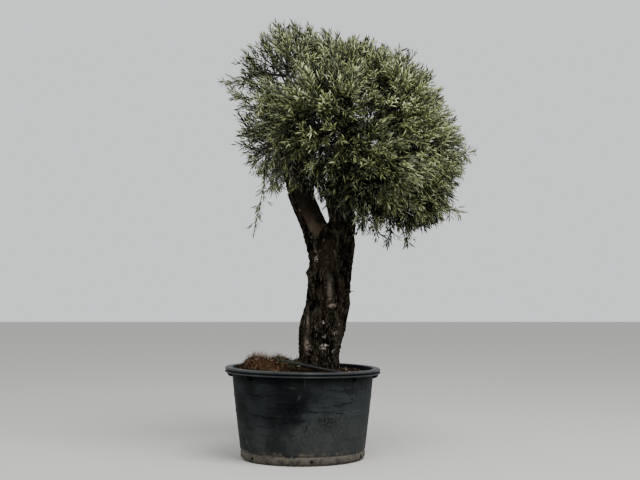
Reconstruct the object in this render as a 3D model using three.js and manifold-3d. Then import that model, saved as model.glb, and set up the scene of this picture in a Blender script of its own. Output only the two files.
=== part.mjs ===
// An old olive tree, cut back hard and regrown, standing in a large round nursery tub.
// Millimetres, +Z up. The origin is the middle of the tub's flat underside. The tree
// leans and spreads towards +X, and the side that faces -Y is its front.
import * as THREE from "three";
import { mergeVertices } from "three/addons/utils/BufferGeometryUtils.js";
import Module from "manifold-3d";

const wasm = await Module();
wasm.setup();

// Fits between pieces.
const GAP = 0.3; // between pieces that touch on the real thing
const FACET_GAP = 0.4; // the same between many-sided pieces, which lie closer at their flats
const WELD = 1e-3; // corners nearer than this are one corner
const TRIM = 0.3; // the shortest edge kept where pieces are fused

// Tub: 500 litre size, 8 mm wall, with a turned-down rim on eight gussets.
const TUB_SIDES = 32;
const TUB_HEIGHT = 636;
const TUB_WALL = 8;
const TUB_FLOOR = 12;
const RIM_RADIUS = 550;
const RIM_DEPTH = 38;
const RIM_SAG = 16; // the soft rim lies this much lower at +X than at -X
const NECK_RADIUS = 498; // outside of the wall under the rim
const NECK_HEIGHT = 586;
const HEEL_RADIUS = 441; // outside of the wall above the foot
const HEEL_HEIGHT = 72;
const FOOT_RADIUS = 422; // edge of the flat underside
const MOULD_RING_HEIGHTS = [330, 440];
const MOULD_RING_RISE = 2.5;
const GUSSETS = 8;
const GUSSET_THICKNESS = 14;

// Root ball: the peat that fills the tub, level beside the wall, heaped at -X.
const PEAT_LEVEL = 606;
const PEAT_RINGS = [0.94, 0.8, 0.63, 0.46, 0.29, 0.13]; // fractions of the tub's radius
const HEAPS = [
  { x: -320, y: 0, wide: 150, deep: 270, rise: 100 },
  { x: -165, y: 0, wide: 130, deep: 230, rise: 98 },
  { x: 20, y: 40, wide: 150, deep: 200, rise: 92 },
  { x: 190, y: 0, wide: 130, deep: 170, rise: 34 },
];
const HEAP_EDGE = 485; // the heaps run out at this distance from the tub's middle
const HEAP_SHOULDER = 385;

// Trunk: middle and half width as seen from the front, from the flat cut at the peat
// to the fork. It is a little less deep than wide, and fluted.
const TRUNK_STATIONS = [
  { height: 612, middle: 112, halfWidth: 153 },
  { height: 690, middle: 114, halfWidth: 143 },
  { height: 800, middle: 124, halfWidth: 153 },
  { height: 930, middle: 144, halfWidth: 165 },
  { height: 1080, middle: 177, halfWidth: 157 },
  { height: 1240, middle: 193, halfWidth: 151 },
  { height: 1400, middle: 202, halfWidth: 157 },
  { height: 1530, middle: 190, halfWidth: 174 },
  { height: 1600, middle: 183, halfWidth: 176 },
  { height: 1648, middle: 170, halfWidth: 118 },
];
const TRUNK_SIDES = 18;
const TRUNK_RINGS = 16;
const TRUNK_DEPTH = 0.9; // half depth over half width
const FORK_DEPTH = 0.56; // the same at the fork, where the limbs stand side by side
const FORK_STARTS = 1340;
const FLUTES = [
  { count: 3, share: 0.035, turns: 0.25, phase: 0.6 },
  { count: 5, share: 0.03, turns: -0.15, phase: 2.1 },
  { count: 8, share: 0.02, turns: 0.1, phase: 4.0 },
];

// The two limbs of the fork, as the points that their middles pass and their radii.
const LIMB_SIDES = 10;
const LIMB_RINGS = 9;
const LIMBS = {
  left: {
    passes: [
      [150, 0, 1495], [62, 0, 1665], [-12, -6, 1842], [-66, -20, 2010], [-92, -38, 2230], [-108, -52, 2470],
    ],
    radii: [96, 92, 86, 74, 56, 36],
  },
  right: {
    passes: [
      [268, 4, 1495], [272, 4, 1690], [246, 8, 1850], [262, 22, 2040], [312, 42, 2250], [330, 52, 2470],
    ],
    radii: [98, 93, 84, 72, 54, 34],
  },
};

// Crown: each mass of leaves fills an egg-shaped space round its heart. boughAt is how
// far along the limb its bough leaves; a mass without one sits on the limb's own tip.
// core is the size of its dense middle over its reach. Sprigs are single shoots that
// reach out of the crown to the point given.
const MASSES = [
  {
    name: "upper_left", limb: "left", core: 0.44,
    heart: [-105, -40, 2735], reach: [355, 380, 345], sprigs: [[-622, -60, 2648], [70, -50, 3068]],
  },
  {
    name: "left", limb: "left", boughAt: 0.3, core: 0.42,
    heart: [-218, -30, 2270], reach: [240, 390, 345], sprigs: [[-352, -90, 1535]],
  },
  {
    name: "top", limb: "right", core: 0.56,
    heart: [330, 30, 2680], reach: [370, 400, 315], sprigs: [],
  },
  {
    name: "upper_right", limb: "right", boughAt: 0.7, core: 0.56,
    heart: [655, 0, 2490], reach: [335, 400, 350], sprigs: [[690, -40, 2948]],
  },
  {
    name: "right", limb: "right", boughAt: 0.45, core: 0.56,
    heart: [850, 10, 2170], reach: [310, 420, 370], sprigs: [[1250, -40, 2160]],
  },
  {
    name: "lower_right", limb: "right", boughAt: 0.26, core: 0.54,
    heart: [735, -40, 1870], reach: [335, 410, 300], sprigs: [[1172, -80, 1715], [735, -120, 1446]],
  },
  {
    name: "front", limb: "left", boughAt: 0.46, core: 0.56,
    heart: [185, -370, 2335], reach: [430, 370, 475], sprigs: [],
  },
  {
    name: "lower_front", limb: "right", boughAt: 0.36, core: 0.55,
    heart: [480, -360, 1990], reach: [350, 370, 320],
    sprigs: [[515, -380, 1548], [385, -250, 1565]],
  },
  {
    name: "back_left", limb: "left", boughAt: 0.56, core: 0.56,
    heart: [10, 370, 2340], reach: [430, 370, 450], sprigs: [],
  },
  {
    name: "back_right", limb: "right", boughAt: 0.54, core: 0.56,
    heart: [520, 390, 2210], reach: [430, 360, 500], sprigs: [],
  },
];
const BOUGH_SIDES = 6;
const BOUGH_RINGS = 4;
const BOUGH_BASE = 0.52; // bough radius over the limb's where it leaves
const BOUGH_TIP = 17;
const BOUGH_RISE = 70; // how far the bough bows up
const STEM_LEAD = 60; // a mass's stem runs on straight from the bough's tip for this far
const STEM_TIP = 11;
const STEM_RINGS = 3;
const BOUGH_SINKS = 0.05; // how far the tip enters the core, as a fraction of the reach

// Growth rule of a mass, also used for its finer twigs where the tree is drawn close up:
// branches spread from one stem, and leaves stand in pairs towards the end of each.
const BRANCH_SPACING = 38; // the mass's size over this is the count of its branches
const OPEN_BRANCHES = 7; // in an open mass
const BRANCH_SHOWS = 42; // how far a branch stands out of the core
const OPEN_SHOWS = 110;
const BRANCH_RADII = [10, 5];
const LEAF_LENGTH = 165; // each leaf here stands for a spray of small ones
const LEAF_WIDTH = 58;
const LEAF_THICKNESS = 7;
const LEAF_WIDEST = 0.45; // how far along the leaf it is widest
const LEAF_SIZES = [1, 0.85, 0.7]; // tried in turn, over the full size
const LEAF_ROOT = 3; // how far behind a twig's tip its last leaf is rooted
const LEAF_PAIRS = [
  { back: 30, angle: 1.05 }, // how far behind the branch's tip, and the angle to the branch
  { back: 10, angle: 0.6 },
];
const INNER_PAIR = 0.65; // where one more pair stands on the long branch of an open mass
const LEAF_ROLL = 0.5; // the most that a leaf turns about its own length
const OPEN_CORE = 0.5; // a mass with a smaller core than this is an open one
const SPRIG_LEAF = 125; // the last leaf of a sprig reaches this far past its twig
const SPRIG_PAIR_SPACING = 85;
const SPRIG_ANGLE = 0.6;
const BEAD_SPACING = 40; // of the points that stand for a limb when leaves are kept off it
const CELL_MARGIN = 2; // half the clear space between two masses
const LIMB_MARGIN = 5; // clear space between leaves and wood of another piece
const UNEVEN_BRANCHES = 0.3;
const UNEVEN_CORE = 0.1;
const CORE_SHRINKS = 0.95; // step by which the core is drawn in
const BRANCH_FAN = 1.25; // how far round a mass its branches spread: 1 is half way, 2 all round
const TWIG_CHECKS = 5; // points tested along a twig, less one
const FIRST_SEED = 101;
const GOLDEN_TURN = Math.PI * (3 - Math.sqrt(5));
const CROWN_HEART = new THREE.Vector3(330, 0, 2250);

// Drip pipe: a short rigid piece lying across the peat in front of the trunk.
const PIPE_RADIUS = 10;
const PIPE_SIDES = 12;
const PIPE_ENDS = [[-190, -88], [272, -256]]; // partly sunk in the peat there
const PIPE_LIFT = 5; // its middle above the peat at both ends

const COLOURS = {
  tub: { color: 0x2f3335, roughness: 0.6 },
  peat: { color: 0x4b3222, roughness: 1 },
  bark: { color: 0x2b241d, roughness: 0.95 },
  leaves: { color: 0x6f7a4c, roughness: 0.65 },
  pipe: { color: 0x17181a, roughness: 0.5 },
};

// A repeatable stream of numbers from 0 to 1.
function randomStream(seed) {
  let state = seed >>> 0;
  return () => {
    state = (state + 0x6d2b79f5) >>> 0;
    let mixed = Math.imul(state ^ (state >>> 15), state | 1);
    mixed ^= mixed + Math.imul(mixed ^ (mixed >>> 7), mixed | 61);
    return ((mixed ^ (mixed >>> 14)) >>> 0) / 4294967296;
  };
}

// A size near 1, for things that aren't all alike.
function uneven(random, most) {
  return 1 + most * (2 * random() - 1);
}

// The corners and faces of a closed geometry, welded, without flat faces, turned out.
function weld(geometry) {
  const bare = geometry.clone();
  bare.deleteAttribute("normal");
  bare.deleteAttribute("uv");
  const merged = mergeVertices(bare, WELD);
  const corners = Float32Array.from(merged.attributes.position.array);
  const faces = [];
  let sixVolumes = 0;
  const [a, b, c] = [new THREE.Vector3(), new THREE.Vector3(), new THREE.Vector3()];
  for (let i = 0; i < merged.index.count; i += 3) {
    const face = [0, 1, 2].map((k) => merged.index.getX(i + k));
    if (new Set(face).size === 3) {
      faces.push(face);
      [a, b, c].forEach((spot, k) => spot.fromArray(corners, 3 * face[k]));
      sixVolumes += a.dot(b.cross(c));
    }
  }
  const outward = sixVolumes < 0 ? faces.map(([p, q, r]) => [p, r, q]) : faces;
  return { corners, faces: Uint32Array.from(outward.flat()) };
}

// A solid that can be joined and cut.
function solidOf(geometry) {
  const { corners, faces } = weld(geometry);
  return new wasm.Manifold(new wasm.Mesh({ numProp: 3, vertProperties: corners, triVerts: faces }));
}

// The geometry of a solid. Fusing leaves loose scraps now and then: only the largest body is kept.
function geometryOf(solid) {
  const bodies = solid.decompose().sort((a, b) => b.volume() - a.volume());
  const mesh = bodies[0].getMesh();
  const geometry = new THREE.BufferGeometry();
  geometry.setAttribute("position", new THREE.BufferAttribute(mesh.vertProperties, 3));
  geometry.setIndex(new THREE.BufferAttribute(mesh.triVerts, 1));
  return geometry;
}

function meshOf(name, geometry, look) {
  const faceted = geometry.index ? geometry.toNonIndexed() : geometry;
  faceted.computeVertexNormals();
  const mesh = new THREE.Mesh(faceted, new THREE.MeshStandardMaterial({ metalness: 0, ...COLOURS[look] }));
  mesh.name = name;
  return mesh;
}

// Moves every corner of a geometry by a rule that changes the point it is given.
function reshape(geometry, rule) {
  const position = geometry.attributes.position;
  const spot = new THREE.Vector3();
  for (let i = 0; i < position.count; i += 1) {
    spot.fromBufferAttribute(position, i);
    rule(spot);
    position.setXYZ(i, spot.x, spot.y, spot.z);
  }
  return geometry;
}

// Turns a profile of [radius, height] pairs about the Z axis.
function turned(profile, sides) {
  const points = profile.map(([radius, height]) => new THREE.Vector2(radius, height));
  return new THREE.LatheGeometry(points, sides).rotateX(Math.PI / 2);
}

// The tub's rim has settled a little on its +X side, and what is in the tub with it.
function settle(geometry) {
  const slope = RIM_SAG / (2 * RIM_RADIUS);
  return reshape(geometry, (spot) => {
    spot.z -= slope * spot.x * (spot.z / TUB_HEIGHT);
  });
}

function wallRadius(height) {
  const share = (height - HEEL_HEIGHT) / (NECK_HEIGHT - HEEL_HEIGHT);
  return HEEL_RADIUS + (NECK_RADIUS - HEEL_RADIUS) * share;
}

function insideRadius(height) {
  return wallRadius(height) - TUB_WALL;
}

function tubProfile() {
  const rimFoot = TUB_HEIGHT - RIM_DEPTH;
  const rings = MOULD_RING_HEIGHTS.flatMap((height) => [
    [wallRadius(height - 6), height - 6],
    [wallRadius(height) + MOULD_RING_RISE, height],
  ]);
  return [
    [0, 0],
    [FOOT_RADIUS, 0],
    [HEEL_RADIUS - 4, 20],
    [HEEL_RADIUS - 2, 54],
    [HEEL_RADIUS - 8, 62],
    [HEEL_RADIUS, HEEL_HEIGHT],
    ...rings,
    [wallRadius(TUB_HEIGHT - TUB_WALL), TUB_HEIGHT - TUB_WALL],
    [RIM_RADIUS - 12, TUB_HEIGHT - TUB_WALL],
    [RIM_RADIUS - 11, rimFoot],
    [RIM_RADIUS - 4, rimFoot],
    [RIM_RADIUS, rimFoot + 12],
    [RIM_RADIUS - 6, rimFoot + 21],
    [RIM_RADIUS - 1, rimFoot + 32],
    [RIM_RADIUS - 14, TUB_HEIGHT],
    [NECK_RADIUS + 4, TUB_HEIGHT],
    [insideRadius(TUB_HEIGHT - 6), TUB_HEIGHT - 6],
    [insideRadius(TUB_FLOOR), TUB_FLOOR],
    [0, TUB_FLOOR],
  ];
}

// An upright plate between the wall and the turned-down rim, slanted where it shows below.
function gusset(turn) {
  const top = TUB_HEIGHT - TUB_WALL / 2;
  const outline = new THREE.Shape([
    new THREE.Vector2(NECK_RADIUS - 6, NECK_HEIGHT - 26),
    new THREE.Vector2(NECK_RADIUS + 26, NECK_HEIGHT - 18),
    new THREE.Vector2(RIM_RADIUS - 8, NECK_HEIGHT + 12),
    new THREE.Vector2(RIM_RADIUS - 8, top),
    new THREE.Vector2(NECK_RADIUS - 3, top),
  ]);
  return new THREE.ExtrudeGeometry(outline, { depth: GUSSET_THICKNESS, bevelEnabled: false })
    .translate(0, 0, -GUSSET_THICKNESS / 2)
    .rotateX(Math.PI / 2)
    .rotateZ(turn);
}

function tubSolid() {
  const plates = Array.from({ length: GUSSETS }, (_, i) => {
    const turn = (2 * Math.PI * i) / GUSSETS;
    return solidOf(settle(gusset(turn)));
  });
  return wasm.Manifold.union([solidOf(settle(turned(tubProfile(), TUB_SIDES))), ...plates]);
}

// Height of the peat: level near the wall, with soft heaps that run out towards it.
function peatHeight(x, y) {
  const out = Math.hypot(x, y);
  const share = 1 - THREE.MathUtils.smoothstep(out, HEAP_SHOULDER, HEAP_EDGE);
  const heaped = HEAPS.map(({ x: midX, y: midY, wide, deep, rise }) => {
    return rise * Math.exp(-(((x - midX) / wide) ** 2) - ((y - midY) / deep) ** 2);
  });
  return PEAT_LEVEL + Math.max(...heaped) * share;
}

function peatSolid() {
  const edge = insideRadius(PEAT_LEVEL) - FACET_GAP;
  const floor = TUB_FLOOR + GAP;
  const rings = PEAT_RINGS.map((share) => [share * edge, PEAT_LEVEL]);
  const profile = [
    [0, floor],
    [insideRadius(floor) - FACET_GAP, floor],
    [edge, PEAT_LEVEL],
    ...rings,
    [0, PEAT_LEVEL],
  ];
  const filled = reshape(turned(profile, TUB_SIDES), (spot) => {
    if (spot.z > PEAT_LEVEL - WELD) {
      spot.z = peatHeight(spot.x, spot.y);
    }
  });
  return solidOf(settle(filled));
}

// A closed limb: the rings of a cylinder, set along an axis. radiusAt gives the radius
// from the fraction along, and swell makes the limb larger all over.
function limbSolid({ axis, radiusAt, sides, rings }, swell = 0) {
  const frames = axis.computeFrenetFrames(rings, false);
  const rod = new THREE.CylinderGeometry(1, 1, 1, sides, rings);
  return solidOf(reshape(rod, (spot) => {
    const along = spot.y + 0.5;
    const ring = Math.round(along * rings);
    const turn = Math.atan2(spot.z, spot.x);
    const radius = Math.hypot(spot.x, spot.z) * (radiusAt(along) + swell);
    const end = ring === 0 ? -swell : ring === rings ? swell : 0;
    spot.copy(axis.getPointAt(along))
      .addScaledVector(frames.tangents[ring], end)
      .addScaledVector(frames.normals[ring], radius * Math.cos(turn))
      .addScaledVector(frames.binormals[ring], radius * Math.sin(turn));
  }));
}

// The trunk's rings lie level, so that its foot is a flat cut.
function trunkSolid(swell = 0) {
  const course = new THREE.CatmullRomCurve3(TRUNK_STATIONS.map(
    ({ height, middle, halfWidth }) => new THREE.Vector3(middle, halfWidth, height),
  ));
  const rod = new THREE.CylinderGeometry(1, 1, 1, TRUNK_SIDES, TRUNK_RINGS);
  return solidOf(reshape(rod, (spot) => {
    const along = spot.y + 0.5;
    const turn = Math.atan2(spot.z, spot.x);
    const { x: middle, y: halfWidth, z: height } = course.getPoint(along);
    const fluted = FLUTES.reduce((sum, { count, share, turns, phase }) => {
      return sum + share * Math.cos(count * turn + phase + 2 * Math.PI * turns * along);
    }, 1);
    const radius = Math.hypot(spot.x, spot.z) * (halfWidth * fluted + swell);
    const end = along < WELD ? -swell : along > 1 - WELD ? swell : 0;
    const fork = THREE.MathUtils.smoothstep(height, FORK_STARTS, TRUNK_STATIONS.at(-1).height);
    const depth = THREE.MathUtils.lerp(TRUNK_DEPTH, FORK_DEPTH, fork);
    spot.set(middle + radius * Math.cos(turn), depth * radius * Math.sin(turn), height + end);
  }));
}

// A limb of the fork: its axis and its radius at a fraction of its length.
function forkLimb({ passes, radii }) {
  const axis = new THREE.CatmullRomCurve3(passes.map((place) => new THREE.Vector3(...place)));
  const radiusAt = (along) => {
    const step = Math.min(Math.floor(along * (radii.length - 1)), radii.length - 2);
    return THREE.MathUtils.lerp(radii[step], radii[step + 1], along * (radii.length - 1) - step);
  };
  return { axis, radiusAt, sides: LIMB_SIDES, rings: LIMB_RINGS };
}

// The point of a mass's egg-shaped space in a direction from its heart.
function rimPoint(mass, direction, share) {
  const { x, y, z } = mass.reach;
  const size = Math.hypot(direction.x / x, direction.y / y, direction.z / z);
  return mass.heart.clone().addScaledVector(direction, share / size);
}

// A bough from its limb up to the mass that it carries.
function boughOf(mass, limb) {
  const from = limb.axis.getPointAt(mass.boughAt);
  const base = BOUGH_BASE * limb.radiusAt(mass.boughAt);
  const tip = rimPoint(mass, from.clone().sub(mass.heart).normalize(), mass.core - BOUGH_SINKS);
  const middle = from.clone().lerp(tip, 0.5);
  middle.z += BOUGH_RISE;
  const axis = new THREE.QuadraticBezierCurve3(from, middle, tip);
  const radiusAt = (along) => THREE.MathUtils.lerp(base, BOUGH_TIP, along);
  return { axis, radiusAt, sides: BOUGH_SIDES, rings: BOUGH_RINGS };
}

// Points along a piece of wood with their radii, for keeping leaves off it.
function beadsOf({ axis, radiusAt }) {
  const count = Math.ceil(axis.getLength() / BEAD_SPACING);
  return Array.from({ length: count + 1 }, (_, i) => {
    return { spot: axis.getPointAt(i / count), radius: radiusAt(i / count) };
  });
}

// A straight three-sided twig that tapers from one point to another.
function twigSolid(from, to, [base, tip]) {
  const length = from.distanceTo(to);
  const rod = new THREE.CylinderGeometry(tip, base, length, 3, 1).translate(0, length / 2, 0);
  const turn = new THREE.Quaternion().setFromUnitVectors(
    new THREE.Vector3(0, 1, 0), to.clone().sub(from).normalize(),
  );
  return solidOf(rod.applyQuaternion(turn).translate(from.x, from.y, from.z));
}

// A leaf with eight faces, from its root along a direction. Its face looks along the
// twig that it stands on, as far as it can, turned by a roll.
function leafCorners(root, direction, twig, roll, length) {
  const side = direction.clone().cross(twig);
  if (side.length() < 0.1) {
    side.copy(squareTo(direction)[0]);
  }
  side.normalize().applyAxisAngle(direction, roll);
  const face = direction.clone().cross(side);
  const width = LEAF_WIDTH * (length / LEAF_LENGTH);
  const middle = root.clone().addScaledVector(direction, LEAF_WIDEST * length);
  return {
    root,
    tip: root.clone().addScaledVector(direction, length),
    left: middle.clone().addScaledVector(side, width / 2),
    right: middle.clone().addScaledVector(side, -width / 2),
    top: middle.clone().addScaledVector(face, LEAF_THICKNESS / 2),
    under: middle.clone().addScaledVector(face, -LEAF_THICKNESS / 2),
  };
}

function leafSolid(leaf) {
  const order = [leaf.left, leaf.right, leaf.tip, leaf.root, leaf.top, leaf.under];
  const shape = new THREE.OctahedronGeometry(1);
  return solidOf(reshape(shape, (spot) => {
    const axis = [spot.x, spot.y, spot.z].findIndex((part) => Math.abs(part) > 0.5);
    const negative = [spot.x, spot.y, spot.z][axis] < 0;
    spot.copy(order[2 * axis + (negative ? 1 : 0)]);
  }));
}

// True if a point lies in the mass's own cell: nearer to it than to any other mass.
function inCell(spot, mass, masses) {
  return masses.every((other) => {
    if (other === mass) {
      return true;
    }
    const apart = 2 * mass.heart.distanceTo(other.heart);
    const own = spot.distanceToSquared(mass.heart) - mass.size ** 2;
    const theirs = spot.distanceToSquared(other.heart) - other.size ** 2;
    return (theirs - own) / apart > CELL_MARGIN;
  });
}

function inReach(spot, mass) {
  const { x, y, z } = mass.reach;
  const from = spot.clone().sub(mass.heart);
  return Math.hypot(from.x / x, from.y / y, from.z / z) <= 1;
}

function clearOfWood(spots, beads, width) {
  return beads.every(({ spot, radius }) => {
    const clear = Math.hypot(radius, BEAD_SPACING / 2) + width + LIMB_MARGIN;
    return spots.every((place) => place.distanceTo(spot) > clear);
  });
}

function alongLine(from, to, count) {
  return Array.from({ length: count + 1 }, (_, i) => from.clone().lerp(to, i / count));
}

// Two directions at right angles to one.
function squareTo(direction) {
  const first = Math.abs(direction.z) < 0.9 ? new THREE.Vector3(0, 0, 1) : new THREE.Vector3(1, 0, 0);
  first.cross(direction).normalize();
  return [first, direction.clone().cross(first)];
}

// A direction leant away from another by an angle, at a turn round it.
function leant(direction, angle, turn) {
  const [first, second] = squareTo(direction);
  return direction.clone().multiplyScalar(Math.cos(angle))
    .addScaledVector(first, Math.sin(angle) * Math.cos(turn))
    .addScaledVector(second, Math.sin(angle) * Math.sin(turn));
}

// Collects the twigs and leaves of one mass that stay inside its space.
class MassGrowth {
  constructor(mass, masses, beads, random) {
    Object.assign(this, { mass, masses, beads, random });
    this.solids = [];
  }

  fits(spots, width, free = false) {
    return spots.every((spot) => inCell(spot, this.mass, this.masses) && (free || inReach(spot, this.mass)))
      && clearOfWood(spots, this.beads, width);
  }

  twig(from, to, radii, free = false) {
    const fits = this.fits(alongLine(from, to, TWIG_CHECKS), radii[0], free);
    if (fits) {
      this.solids.push(twigSolid(from, to, radii));
    }
    return fits;
  }

  // A leaf is tried at full size and then shorter, and left out if it still doesn't fit.
  leaf(root, direction, twig, free = false) {
    const roll = LEAF_ROLL * (2 * this.random() - 1);
    for (const share of LEAF_SIZES) {
      const corners = leafCorners(root, direction, twig, roll, share * LEAF_LENGTH);
      if (this.fits(Object.values(corners), 0, free)) {
        this.solids.push(leafSolid(corners));
        return true;
      }
    }
    return false;
  }

  // A pair of leaves on opposite sides of a twig, each closer to it where it has no room.
  pair(spot, twig, angle, turn, free = false) {
    [turn, turn + Math.PI].forEach((side) => {
      return this.leaf(spot, leant(twig, angle, side), twig, free)
        || this.leaf(spot, leant(twig, angle / 2, side), twig, free);
    });
  }

  // Pairs of leaves at the end of a twig, each a quarter turn on from the last, and one at its tip.
  tuft(to, twig, turn) {
    LEAF_PAIRS.forEach(({ back, angle }, i) => {
      this.pair(to.clone().addScaledVector(twig, -back), twig, angle, turn + i * Math.PI / 2);
    });
    this.leaf(to.clone().addScaledVector(twig, -LEAF_ROOT), twig, twig);
  }

  branch(from, to) {
    const twig = to.clone().sub(from).normalize();
    if (this.twig(from, to, BRANCH_RADII)) {
      const turn = this.random() * Math.PI;
      this.tuft(to, twig, turn);
      if (this.mass.open) {
        this.pair(from.clone().lerp(to, INNER_PAIR), twig, LEAF_PAIRS[1].angle, turn);
      }
    }
  }

  // A long single shoot that leaves the crown, with leaves in pairs along its outer part.
  sprig(from, to) {
    const twig = to.clone().sub(from).normalize();
    const end = to.clone().addScaledVector(twig, -SPRIG_LEAF);
    if (this.twig(from, end, BRANCH_RADII, true)) {
      const bare = rimPoint(this.mass, twig, this.mass.core).distanceTo(from);
      this.leaf(end.clone().addScaledVector(twig, -LEAF_ROOT), twig, twig, true);
      const leafy = end.distanceTo(from) - bare;
      for (let back = SPRIG_PAIR_SPACING / 2; back < leafy; back += SPRIG_PAIR_SPACING) {
        this.pair(end.clone().addScaledVector(twig, -back), twig, SPRIG_ANGLE, back * GOLDEN_TURN, true);
      }
    }
  }
}

// Branch directions spread evenly over the side of a mass that looks out of the crown.
function outwardDirections(mass, count, phase) {
  const outward = mass.heart.clone().sub(CROWN_HEART).normalize();
  return Array.from({ length: count }, (_, i) => {
    const rise = 1 - (BRANCH_FAN * (i + 0.5)) / count;
    return leant(outward, Math.acos(rise), phase + i * GOLDEN_TURN);
  });
}

// The core of a mass: a rough ball, drawn in where it would leave the mass's cell.
function coreSolid(mass, masses, random) {
  const ball = new THREE.IcosahedronGeometry(1, 1);
  const drawnIn = new Map();
  return solidOf(reshape(ball, (spot) => {
    const key = spot.toArray().map((part) => Math.round(1000 * part)).join();
    if (!drawnIn.has(key)) {
      let share = mass.core * uneven(random, UNEVEN_CORE);
      while (!inCell(rimPoint(mass, spot, share), mass, masses)) {
        share *= CORE_SHRINKS;
      }
      drawnIn.set(key, rimPoint(mass, spot, share));
    }
    spot.copy(drawnIn.get(key));
  }));
}

function massSolid(mass, masses, keptClear, beads, seed) {
  const random = randomStream(seed);
  const growth = new MassGrowth(mass, masses, beads, random);
  const { axis, radiusAt } = mass.carrier;
  const ahead = axis.getTangentAt(1);
  const foot = axis.getPointAt(1).addScaledVector(ahead, GAP);
  const stem = limbSolid({
    axis: new THREE.QuadraticBezierCurve3(foot, foot.clone().addScaledVector(ahead, STEM_LEAD), mass.heart),
    radiusAt: (along) => THREE.MathUtils.lerp(radiusAt(1), STEM_TIP, along),
    sides: BOUGH_SIDES,
    rings: STEM_RINGS,
  });
  const branches = mass.open ? OPEN_BRANCHES : Math.round(mass.size / BRANCH_SPACING);
  const shows = mass.open ? OPEN_SHOWS : BRANCH_SHOWS;
  outwardDirections(mass, branches, random() * 2 * Math.PI).forEach((direction) => {
    const out = direction.clone().multiplyScalar(shows * uneven(random, UNEVEN_BRANCHES));
    growth.branch(mass.heart, rimPoint(mass, direction, mass.core).add(out));
  });
  mass.sprigs.forEach((to) => growth.sprig(mass.heart, new THREE.Vector3(...to)));
  const core = coreSolid(mass, masses, random).subtract(keptClear);
  return wasm.Manifold.union([stem, core, ...growth.solids]).simplify(TRIM);
}

function pipeSolid(swell = 0) {
  const ends = PIPE_ENDS.map(([x, y]) => new THREE.Vector3(x, y, peatHeight(x, y) + PIPE_LIFT));
  const axis = new THREE.LineCurve3(...ends);
  return limbSolid({ axis, radiusAt: () => PIPE_RADIUS, sides: PIPE_SIDES, rings: 1 }, swell);
}

// The masses with their spaces as vectors and the limb or bough that carries each.
function crownMasses(limbs) {
  return MASSES.map((row) => {
    const reach = new THREE.Vector3(...row.reach);
    const size = (reach.x + reach.y + reach.z) / 3;
    const mass = { ...row, heart: new THREE.Vector3(...row.heart), reach, size, open: row.core < OPEN_CORE };
    mass.bough = row.boughAt ? boughOf(mass, limbs[row.limb]) : null;
    mass.carrier = mass.bough ?? limbs[row.limb];
    return mass;
  });
}

function buildTree() {
  const limbs = { left: forkLimb(LIMBS.left), right: forkLimb(LIMBS.right) };
  const masses = crownMasses(limbs);
  const tree = new THREE.Group();

  const aroundTrunk = trunkSolid(FACET_GAP);
  const rootBall = peatSolid().subtract(aroundTrunk).subtract(pipeSolid(FACET_GAP));
  tree.add(meshOf("tub", geometryOf(tubSolid()), "tub"));
  tree.add(meshOf("root_ball", geometryOf(rootBall), "peat"));
  tree.add(meshOf("drip_pipe", geometryOf(pipeSolid()), "pipe"));
  tree.add(meshOf("trunk", geometryOf(trunkSolid()), "bark"));

  const aroundLeft = limbSolid(limbs.left, FACET_GAP);
  const leftLimb = limbSolid(limbs.left).subtract(aroundTrunk);
  const rightLimb = limbSolid(limbs.right).subtract(aroundTrunk).subtract(aroundLeft);
  tree.add(meshOf("left_limb", geometryOf(leftLimb), "bark"));
  tree.add(meshOf("right_limb", geometryOf(rightLimb), "bark"));

  const aroundFork = aroundLeft.add(limbSolid(limbs.right, FACET_GAP));
  const boughed = masses.filter((mass) => mass.bough);
  boughed.forEach((mass) => {
    const bough = limbSolid(mass.bough).subtract(aroundFork);
    tree.add(meshOf(`${mass.name}_bough`, geometryOf(bough), "bark"));
  });

  const wood = [limbs.left, limbs.right, ...boughed.map((mass) => mass.bough)];
  masses.forEach((mass, index) => {
    const others = wood.filter((limb) => limb !== mass.carrier);
    const around = others.map((limb) => limbSolid(limb, LIMB_MARGIN));
    const keptClear = wasm.Manifold.union([limbSolid(mass.carrier, GAP), ...around]);
    const grown = massSolid(mass, masses, keptClear, others.flatMap(beadsOf), FIRST_SEED + index);
    tree.add(meshOf(`${mass.name}_leaves`, geometryOf(grown), "leaves"));
  });
  return tree;
}

const tree = buildTree();
export default tree;
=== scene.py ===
"""An old olive tree in a round nursery tub, dressed for rendering.

All sizes are in metres, +Z up. The tree is grown by the same rule as its solids and
carried to finer twigs and leaves within the same spaces.
"""
import logging
import math
from dataclasses import dataclass, field
from enum import Enum
from functools import reduce
from typing import Callable, Iterable, Sequence

import bpy
import numpy as np
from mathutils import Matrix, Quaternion, Vector, noise


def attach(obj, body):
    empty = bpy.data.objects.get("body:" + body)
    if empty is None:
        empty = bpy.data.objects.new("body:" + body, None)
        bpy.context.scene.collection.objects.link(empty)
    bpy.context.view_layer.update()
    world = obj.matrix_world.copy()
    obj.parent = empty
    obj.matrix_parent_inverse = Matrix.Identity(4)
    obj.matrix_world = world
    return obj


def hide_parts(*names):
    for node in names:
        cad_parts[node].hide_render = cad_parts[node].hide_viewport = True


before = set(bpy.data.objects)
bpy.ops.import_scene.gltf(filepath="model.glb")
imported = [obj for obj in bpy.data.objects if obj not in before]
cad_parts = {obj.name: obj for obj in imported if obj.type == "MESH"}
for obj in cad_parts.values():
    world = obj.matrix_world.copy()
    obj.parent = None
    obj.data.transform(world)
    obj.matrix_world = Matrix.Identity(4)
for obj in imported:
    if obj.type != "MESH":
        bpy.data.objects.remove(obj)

Spot = tuple[float, float, float]
Colour = tuple[float, float, float]
Span = tuple[float, float]
Rule = Callable[[float], float]
Array = np.ndarray
Shape = tuple[Array, Array, Array]
Choice = Callable[[float, float], bool]
Stroke = tuple[Span, Span, float]
Socket, Node, NodeTree = bpy.types.NodeSocket, bpy.types.Node, bpy.types.NodeTree
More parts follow.
